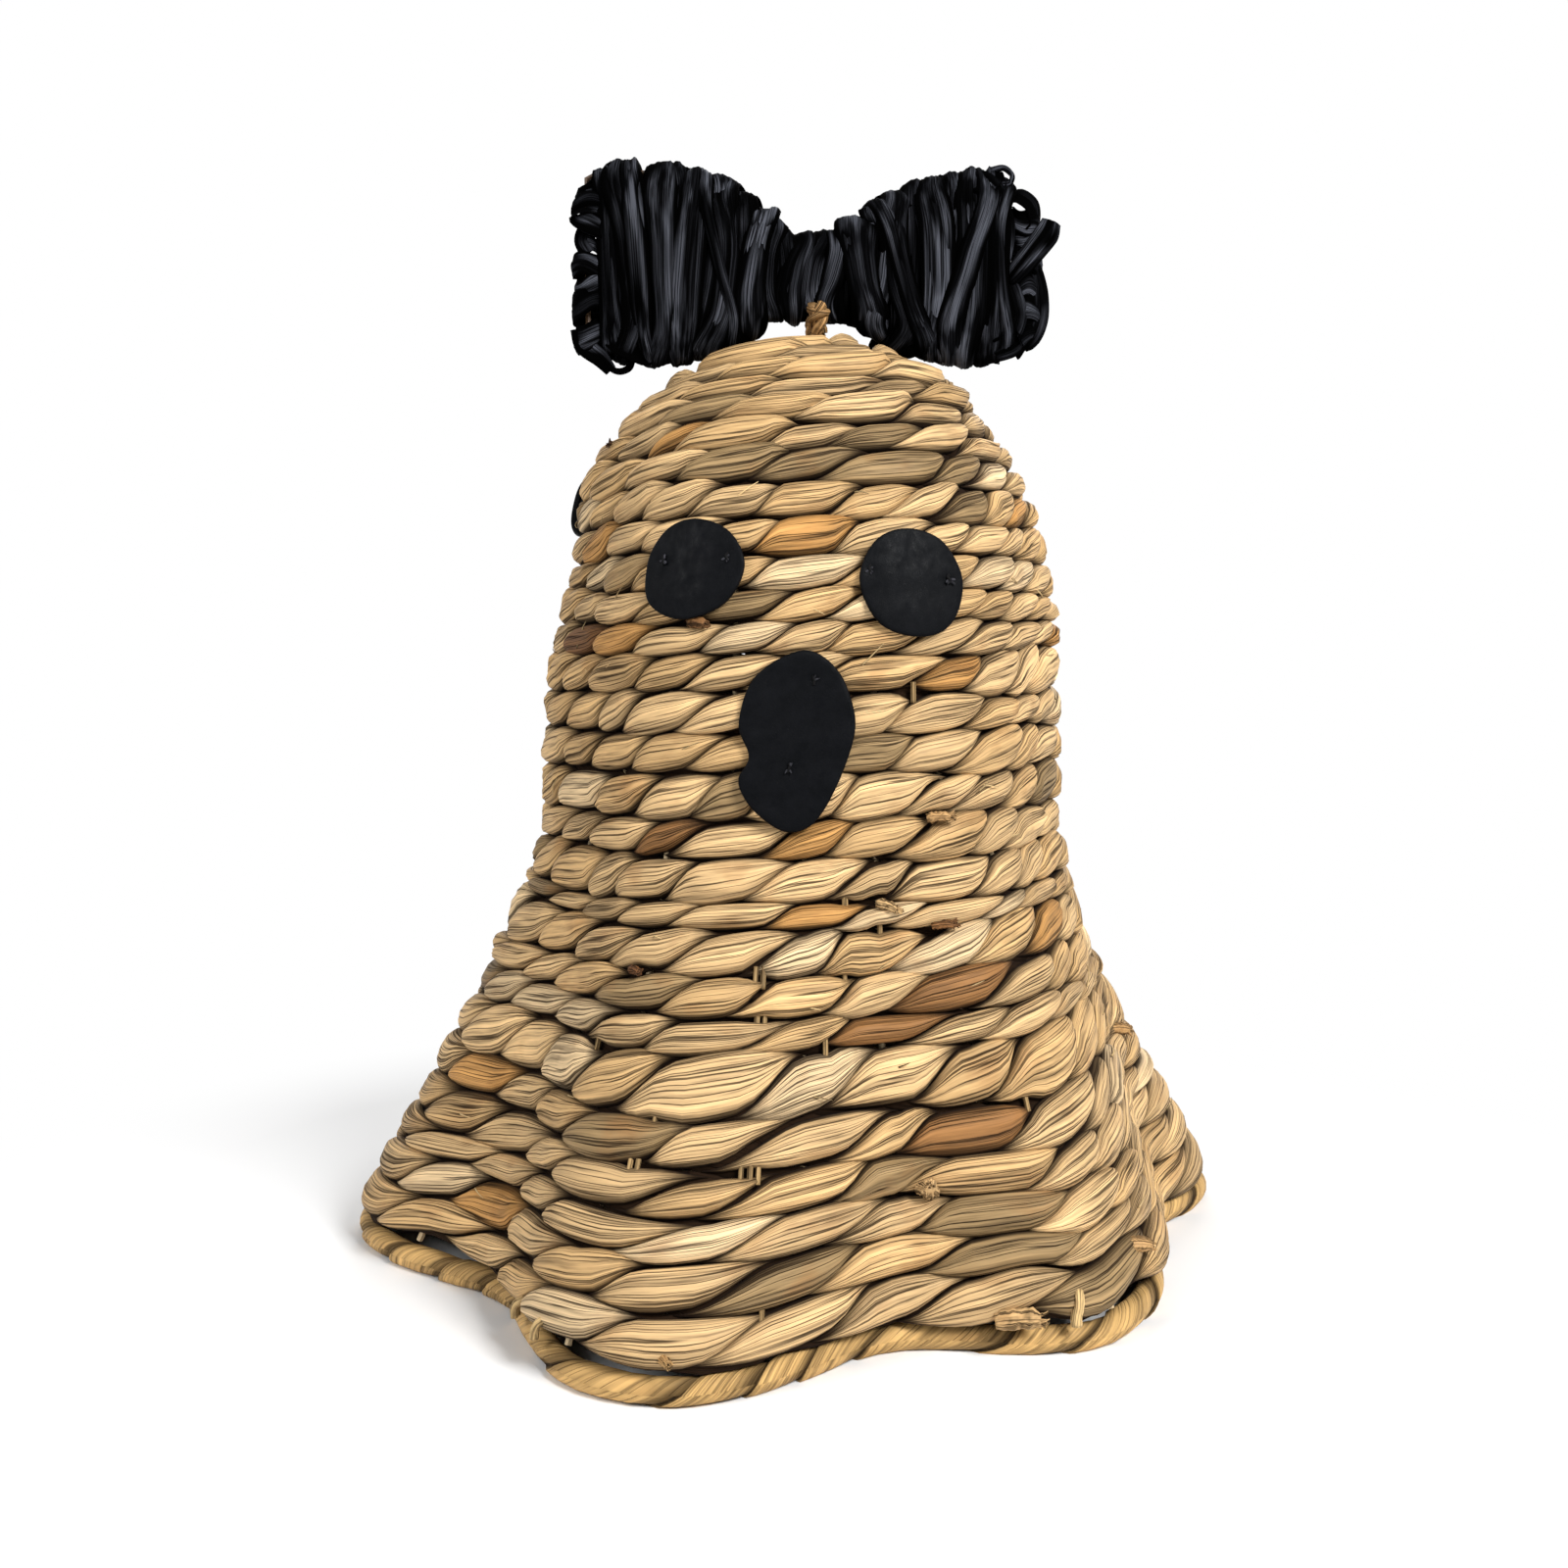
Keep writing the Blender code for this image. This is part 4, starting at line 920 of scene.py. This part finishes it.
def bow_ends():
    bag = Collector()
    left_x = middle_x("bow_binding_left")
    bar_wraps(bag, left_x + 0.0004, 0.2950, 0.3235, 0.0040, 4, 501)
    bar_wraps(bag, left_x + 0.0010, 0.3235, 0.3440, 0.0030, 4, 507)
    loose_strands(bag, LEFT_STRANDS, 561)
    bag.build("bow_binding_left_strips", RAFFIA, "black_raffia", "bow_binding_left")
    bag = Collector()
    bar_wraps(bag, middle_x("bow_binding_right") - 0.0010, 0.2950, 0.3370, 0.0032, 6, 521)
    loose_strands(bag, RIGHT_STRANDS, 581)
    bag.build("bow_binding_right_strips", RAFFIA, "black_raffia", "bow_binding_right")
    bag = Collector()
    path, widths, side = STRAND_END
    open_strip(bag, np.array(path) / 1000, np.array(widths) / 1000, side, 541, 0.0010, across=15)
    bag.build("bow_strand_end_strip", RAFFIA, "black_raffia", "bow_strand_end")
    bag = Collector()
    x, z = middle_x("bow_loop"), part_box("bow_loop")[0].z + 0.0050
    ring = [(x + 0.0042 * math.cos(a), -0.0015 + 0.0012 * math.sin(a), z + 0.0040 * math.sin(a))
            for a in np.linspace(*LOOP_TURN, 12)]
    path = [(x - 0.0020, -0.003, 0.2962)] + ring + [(x + 0.0060, -0.003, 0.2945)]
    open_strip(bag, path, 0.0034, (0.1, 1.0, 0.1), 551, 0.0006, thick=0.0016)
    bag.build("bow_loop_strip", RAFFIA, "black_raffia", "bow_loop")


bow_ends()

# Patches: thin leather cut by hand, on the crests of the weave. Name, azimuth, z, outline and
# stitches in mm from the middle
PATCHES = (
    ("left_eye", -23.0, 0.2190,
     ((-0.3, 14.1), (9.5, 10.3), (14.2, 1.0), (9.2, -9.4), (-2.1, -13.8), (-12.2, -9.4), (-13.9, 1.5),
      (-9.2, 11.0)),
     ((-8.3, 2.4), (9.2, 3.0))),
    ("right_eye", 22.0, 0.2155,
     ((-0.3, 14.8), (10.2, 11.2), (14.9, 0.0), (10.5, -11.5), (1.2, -14.9), (-9.5, -11.0), (-14.8, 0.5),
      (-10.0, 11.0)),
     ((-11.8, 3.3), (10.4, 0.8))),
    ("mouth", -1.8, 0.1712,
     ((1.4, 25.9), (11.5, 21.2), (16.6, 11.0), (17.1, 1.5), (11.5, -13.0), (4.5, -23.0), (-4.0, -25.2),
      (-13.0, -19.0), (-17.0, -11.0), (-14.2, -3.9), (-17.0, 5.5), (-12.2, 19.0)),
     ((4.7, 17.3), (-2.8, -7.2))),
    ("side_patch", -98.0, 0.2430,
     tuple((9.5 * math.sin(a), 9.5 * math.cos(a)) for a in np.linspace(0, 2 * np.pi, 9)[:-1]),
     ((-5.0, 0.0), (5.0, 0.0))),
)
RIM_POINTS = 96
# From the middle out over the rim and back beneath: share of the outline, and depth
PATCH_LEVELS = [(share, 0.0) for share in (0.02, 0.12, 0.25, 0.38, 0.5, 0.62, 0.74, 0.85, 0.93)]
PATCH_LEVELS += [(0.972, -0.00006), (0.992, -0.00028), (1.0, -0.0007), (0.998, -0.0013), (0.985, -0.0017)]
PATCH_LEVELS += [(share, -PATCH_THICKNESS) for share in (0.9, 0.5, 0.02)]


def patch_piece(name, azimuth, z, outline, stitches):
    points = np.array(outline) / 1000
    at = np.arange(RIM_POINTS) / RIM_POINTS * len(points) + 1
    ring = np.concatenate((points[-1:], points, points[:2]))
    rim = np.stack([catmull(ring[:, k], at) for k in (0, 1)], -1)
    random = np.random.RandomState(len(name))
    length = np.interp(z, HEIGHTS, LENGTHS)
    radius = np.interp(length, LENGTHS, RADII) + LEAF_CREST
    flat = np.stack([rim * share for share, _ in PATCH_LEVELS])
    drop = np.array([depth for _, depth in PATCH_LEVELS])[:, None]
    wave = 0.00009 * np.sin(flat[..., 1] / 0.0114 * 2 * np.pi + random.uniform(0, 6))
    wave = wave + 0.00030 * np.sin(flat[..., 0] / 0.006 + random.uniform(0, 6))
    for x, up in stitches:
        near = np.hypot(flat[..., 0] - x / 1000, flat[..., 1] - up / 1000)
        wave = wave - 0.0005 * np.exp(-(near / 0.0016) ** 2)
    point, _, out, _ = wall_frame(azimuth + np.degrees(flat[..., 0] / radius), length + flat[..., 1])
    lift = LEAF_CREST + CLEAR + PATCH_THICKNESS + drop + wave * (drop > -0.0012)
    bag = Collector()
    bag.grid(point + out * lift[..., None], False, 0.002, 0.0008)
    bag.build(name + "_leather", LEATHER, "black_leather", name)
    torn = Collector()
    for number, (x, up) in enumerate(stitches):
        turn = azimuth + math.degrees(x / 1000 / radius)
        torn_hole(torn, turn, length + up / 1000, 700 + number + len(name))
    torn.build(name + "_stitches", TORN_LEATHER, "black_thread", name + "_stitch_1", name + "_stitch_2")


def torn_hole(bag, azimuth, length, seed):
    """Where the thread pulls through: a short black slit with torn lips standing round it."""
    random = np.random.RandomState(seed)
    point, along, out, up = wall_place(azimuth, length)
    face = point + out * (LEAF_CREST + CLEAR + PATCH_THICKNESS - 0.0002)
    slit = [face + up * z + along * random.normal(0, 0.00025) for z in np.linspace(-0.0013, 0.0013, 5)]
    tube(bag, slit, 0.00042, seed, 8, 0.1, 3, 0.1)
    for turn in random.uniform(0, 2 * np.pi, 4):
        across = along * math.cos(turn) + up * math.sin(turn) * 1.3
        reach = random.uniform(0.0008, 0.0017)
        path = [face + across * reach * 0.5, face + across * reach + out * 0.0003,
                face + across * reach * 1.3 + out * random.uniform(0.0003, 0.0008)]
        tube(bag, path, (0.00034, 0.0003, 0.00012), seed + 9, 6, 0.2, 3, random.uniform(0.5, 2.0))


for patch in PATCHES:
    patch_piece(*patch)

# Cord: twisted strands from the closed crown to the bow, with a knot over the wrap's lower edge
CORD_TINT = (168, 130, 84)
CORD_SWING = 0.0017


def cord_strand(bag, path, radius, seed, shade):
    path = np.stack(np.broadcast_arrays(*path), -1)
    tube(bag, path, radius, seed, sides=12, rough=0.08, fine=3, tint=linear(CORD_TINT) * shade, lumps=0.04)


def tie_cord():
    bag = Collector()
    x = AXIS_X + TIE_X
    for strand in range(3):
        turn = np.linspace(0, 2.6 * np.pi, 14) + strand * 2 * np.pi / 3
        path = (x + CORD_SWING * np.cos(turn), AXIS_Y - 0.0012 + CORD_SWING * np.sin(turn),
                np.linspace(0.2925, 0.3030, 14))
        cord_strand(bag, path, 0.00170, 600 + strand, 0.8 + 0.15 * strand)
    for strand in range(3):
        turn = np.linspace(0, 1.1 * np.pi, 10) + strand * 2 * np.pi / 3
        share = np.linspace(0, 1, 10)
        path = (x + 0.0007 + CORD_SWING * np.cos(turn),
                -0.0020 - 0.0052 * np.sin(share * np.pi / 2) + 0.0016 * np.sin(turn), 0.2990 + 0.0080 * share)
        cord_strand(bag, path, 0.00155, 606 + strand, 0.75 + 0.2 * strand)
    for k, (tilt, z) in enumerate(((0.5, 0.3036), (-0.4, 0.3052))):
        turn = np.linspace(0.4, 2 * np.pi - 0.4, 12)
        path = (x + 0.0010 + 0.0027 * np.cos(turn), -0.0058 + 0.0026 * np.sin(turn),
                z + 0.0022 * tilt * np.cos(turn + k))
        cord_strand(bag, path, 0.00125, 610 + k, 0.95 - 0.2 * k)
    bag.build("tie_cord_strands", LEAF, "jute_cord", "tie_cord")


tie_cord()

# Frayed stubs in the weave: azimuth, height along the wall in mm, thickness, length, share that
# points out, tint
STUBS = (
    (20.5, 37.0, 3.0, 4.4, 0.85, (196, 160, 112)), (51.5, 15.2, 2.3, 6.0, 0.5, (190, 150, 100)),
    (28.5, 2.4, 2.4, 11.0, 0.10, (190, 154, 106)), (14.5, 117.0, 1.5, 4.6, 0.4, (200, 164, 114)),
    (25.0, 141.0, 1.4, 5.2, 0.35, (190, 150, 100)), (-17.0, 4.8, 1.4, 5.0, 0.6, (186, 148, 98)),
    (25.0, 110.0, 1.3, 4.6, 0.3, (120, 82, 48)), (-31.5, 97.0, 1.2, 4.2, 0.3, (112, 74, 44)),
    (-73.5, 253.6, 1.3, 3.6, 0.6, (80, 56, 38)), (96.0, 60.0, 2.0, 5.0, 0.6, (186, 146, 96)),
    (150.0, 117.0, 1.8, 5.0, 0.5, (176, 136, 90)), (205.0, 47.0, 2.1, 5.0, 0.7, (190, 152, 102)),
    (-120.0, 86.0, 1.8, 4.6, 0.5, (182, 142, 94)), (-24.0, 197.0, 1.5, 5.0, 0.3, (120, 84, 50)))
# Pale stake ends seen between two rows: azimuth, height along the wall in mm, how many
STAKE_ENDS = (
    (-8.5, 97.0, 2), (-8.0, 86.0, 2), (3.5, 77.0, 1), (-24.0, 47.0, 2), (-8.5, 47.0, 3), (7.5, 97.0, 1),
    (-22.0, 60.0, 1), (-37.0, 77.0, 1), (15.0, 110.0, 1), (-6.0, 13.0, 1), (8.0, 117.0, 1), (23.0, 177.0, 1),
    (38.0, 60.0, 1), (172.0, 86.0, 2), (128.0, 97.0, 1), (-140.0, 60.0, 2), (-98.0, 110.0, 1),
    (68.0, 36.0, 1))
# Ties from the lowest row down over the hoop: azimuth, top and bottom along the wall in mm, thickness
LASHINGS = ((38.0, 9.0, 0.6, 1.6), (-33.0, 7.0, 0.6, 1.2), (-40.0, 6.0, 0.6, 1.4), (118.0, 7.0, 0.6, 1.4),
            (176.0, 7.0, 0.6, 1.4))
# Fibres that lift off the leaves: azimuth and height along the wall in mm, and how many more
FIBRES = ((-0.5, 201.6), (-23.0, 196.8), (12.0, 184.8), (-15.5, 232.0), (38.0, 150.0), (30.0, 92.0),
          (-40.0, 60.0))
MORE_FIBRES = 70
FIBRE_RADII = (0.0003, 0.00024, 0.0002, 0.00016, 0.00008)
FIBRE_TINT = (214, 184, 132)
STAKE_TINT = (186, 154, 106)
STAKE_RADIUS = 0.00080
STAKE_APART = 1.15
LASHING_TINT = (206, 174, 122)


def clear_of_patches(azimuth, height):
    for _, patch_azimuth, z, outline, _ in PATCHES:
        reach = np.abs(np.array(outline)).max(axis=0) + 9
        sideways = np.radians(azimuth - patch_azimuth) * HEAD_RADIUS * 1000
        above = height - np.interp(z, HEIGHTS, LENGTHS) * 1000
        if abs(sideways) < reach[0] and abs(above) < reach[1]:
            return False
    return True


def frayed_stub(bag, random, number, azimuth, height, thick, reach, outward, rgb):
    point, along, out, up = wall_place(azimuth, height / 1000)
    way = unit(out * outward + along * (1 - outward) * 1.2 + up * random.uniform(-0.3, 0.1))
    start = point + out * (0.0012 if outward > 0.4 else 0.0034)
    path = [start + way * (reach + 1.6) / 1000 * t + up * 0.0004 * math.sin(3 * t)
            for t in np.linspace(0, 1, 5)]
    widths = np.array((0.8, 1.0, 1.0, 0.96, 0.72)) * thick / 1000
    tube(bag, path, widths, 800 + number, 16, 0.16, 3, linear(rgb), 0.13)
    for strand in range(16):
        spread = random.uniform(0, 2 * np.pi)
        apart = random.uniform(0.0003, 0.0008) * thick
        root = path[-1] + (along * math.cos(spread) + up * math.sin(spread)) * apart
        tip = root + way * random.uniform(0.0003, 0.0016) + up * random.normal(0, 0.0005)
        tube(bag, [path[-2], root, tip], (0.0005, 0.0004, 0.0002), 850 + strand, 6, 0.1, 2,
             linear(rgb) * random.uniform(0.5, 1.15))


def loose_ends():
    bag = Collector()
    random = np.random.RandomState(77)
    for number, stub in enumerate(STUBS):
        frayed_stub(bag, random, number, *stub)
    for azimuth, height, count in STAKE_ENDS:
        for k in range(count):
            rise = np.array((-0.0030, -0.0010, 0.0010, 0.0030))
            turn = np.full(4, azimuth + (k - (count - 1) / 2) * STAKE_APART)
            point, along, out, _ = wall_frame(turn, height / 1000 + rise)
            path = point + out * 0.0014 + along * random.normal(0, 0.0002)
            shade = random.uniform(0.55, 0.9)
            tube(bag, path, STAKE_RADIUS, int(900 + azimuth + k), 8, 0.06, 2, linear(STAKE_TINT) * shade)
    for azimuth, top, bottom, thick in LASHINGS:
        turns = azimuth + np.array((0.8, 0.2, -0.3, -0.6))
        point, _, out, _ = wall_frame(turns, np.linspace(top, bottom, 4) / 1000)
        path = point + out * np.array((0.0030, 0.0044, 0.0042, 0.0034))[:, None]
        tube(bag, path, thick / 1000, int(940 + azimuth), 12, 0.14, 3, linear(LASHING_TINT), 0.06)
    places = [(random.uniform(-180, 180), random.uniform(20, 240)) for _ in range(MORE_FIBRES)]
    places = list(FIBRES) + [place for place in places if clear_of_patches(*place)]
    spots = np.linspace(0, 1, 5)
    for k, (azimuth, height) in enumerate(places):
        reach = random.uniform(0.003, 0.009) * (1.4 if k < len(FIBRES) else 1)
        lean = random.uniform(-0.5, 0.9)
        point, _, out, _ = wall_frame(azimuth + spots * reach * 500, height / 1000 + lean * reach * spots)
        lift = 0.0042 + random.uniform(0.0003, 0.0012) * np.sin(spots * random.uniform(1.4, 3.0))
        tint = linear(FIBRE_TINT) * random.uniform(0.6, 1.1)
        tube(bag, point + out * lift[:, None], FIBRE_RADII, 1000 + k, 5, 0.05, 2, tint)
    bag.build("weave_loose_ends", LEAF, "woven_leaf")


loose_ends()

# Of the solids, only the stakes and the bow's wire still show
for name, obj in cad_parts.items():
    obj.data.materials.clear()
    obj.data.materials.append(PALE_REED if name.startswith("stake") else DARK_WIRE)


# Floor, world, lamps and camera
def seen_rays(tree):
    """One for rays that show the surface, and zero for those that only light with it."""
    rays = node(tree, "ShaderNodeLightPath").outputs
    seen = calc(tree, "MAXIMUM", rays["Is Camera Ray"], rays["Is Glossy Ray"])
    return calc(tree, "MAXIMUM", seen, rays["Is Transmission Ray"])


def make_floor():
    """A pale floor that catches the shadow near the hem and turns white away from it."""
    mesh = bpy.data.meshes.new("floor")
    mesh.from_pydata([(-6, -6, 0), (6, -6, 0), (6, 6, 0), (-6, 6, 0)], [], [(0, 1, 2, 3)])
    floor = bpy.data.objects.new("floor", mesh)
    bpy.context.collection.objects.link(floor)
    material, tree, shader = new_material("floor_finish")
    shader.inputs["Base Color"].default_value = (0.86, 0.86, 0.86, 1)
    shader.inputs["Roughness"].default_value = 0.9
    place = node(tree, "ShaderNodeTexCoord").outputs["Object"]
    far = node(tree, "ShaderNodeVectorMath", {0: place}, operation="LENGTH").outputs["Value"]
    edge = ramp(tree, far, 0.16, 0.34, 0.0, 1.0, interpolation_type="SMOOTHSTEP")
    near = ramp(tree, far, 0.135, 0.20, 0.0, 0.45, interpolation_type="SMOOTHSTEP")
    whiter = times(tree, calc(tree, "MAXIMUM", near, edge), seen_rays(tree))
    white = node(tree, "ShaderNodeEmission", {"Color": (1, 1, 1, 1), "Strength": 1.0})
    mix = node(tree, "ShaderNodeMixShader", {0: whiter, 1: shader.outputs[0], 2: white.outputs[0]})
    tree.links.new(mix.outputs[0], tree.nodes["Material Output"].inputs["Surface"])
    mesh.materials.append(material)


def make_world():
    world = bpy.data.worlds.new("studio")
    world.use_nodes = True
    bpy.context.scene.world = world
    tree = world.node_tree
    tree.nodes.clear()
    lit = node(tree, "ShaderNodeBackground", {"Color": (1, 1, 1, 1), "Strength": 0.24})
    shown = node(tree, "ShaderNodeBackground", {"Color": (1, 1, 1, 1), "Strength": 1.0})
    mix = node(tree, "ShaderNodeMixShader", {0: seen_rays(tree), 1: lit.outputs[0], 2: shown.outputs[0]})
    tree.links.new(mix.outputs[0], node(tree, "ShaderNodeOutputWorld").inputs["Surface"])


def area_light(name, place, aim, size, power):
    data = bpy.data.lights.new(name, "AREA")
    data.shape = "SQUARE"
    data.size = size
    data.energy = power
    light = bpy.data.objects.new(name, data)
    light.location = place
    light.rotation_euler = (Vector(aim) - Vector(place)).to_track_quat("-Z", "Y").to_euler()
    bpy.context.collection.objects.link(light)


def make_camera():
    data = bpy.data.cameras.new("camera")
    data.sensor_width = 36.0
    data.lens = 39.08
    data.clip_start = 0.01
    camera = bpy.data.objects.new("camera", data)
    camera.location = (-0.0049, -0.560, 0.198)
    camera.rotation_euler = (math.pi / 2 - 0.08, 0, 0)
    bpy.context.collection.objects.link(camera)
    bpy.context.scene.camera = camera
    bpy.context.scene.view_settings.view_transform = "Standard"


make_floor()
make_world()
area_light("key_light", (0.66, -0.86, 0.90), (0, 0, 0.14), 0.42, 23.0)
area_light("fill_light", (-0.95, -0.80, 0.80), (0, 0, 0.14), 0.5, 8.6)
area_light("rim_light", (0.1, 1.1, 0.9), (0, 0, 0.16), 0.9, 8.0)
make_camera()
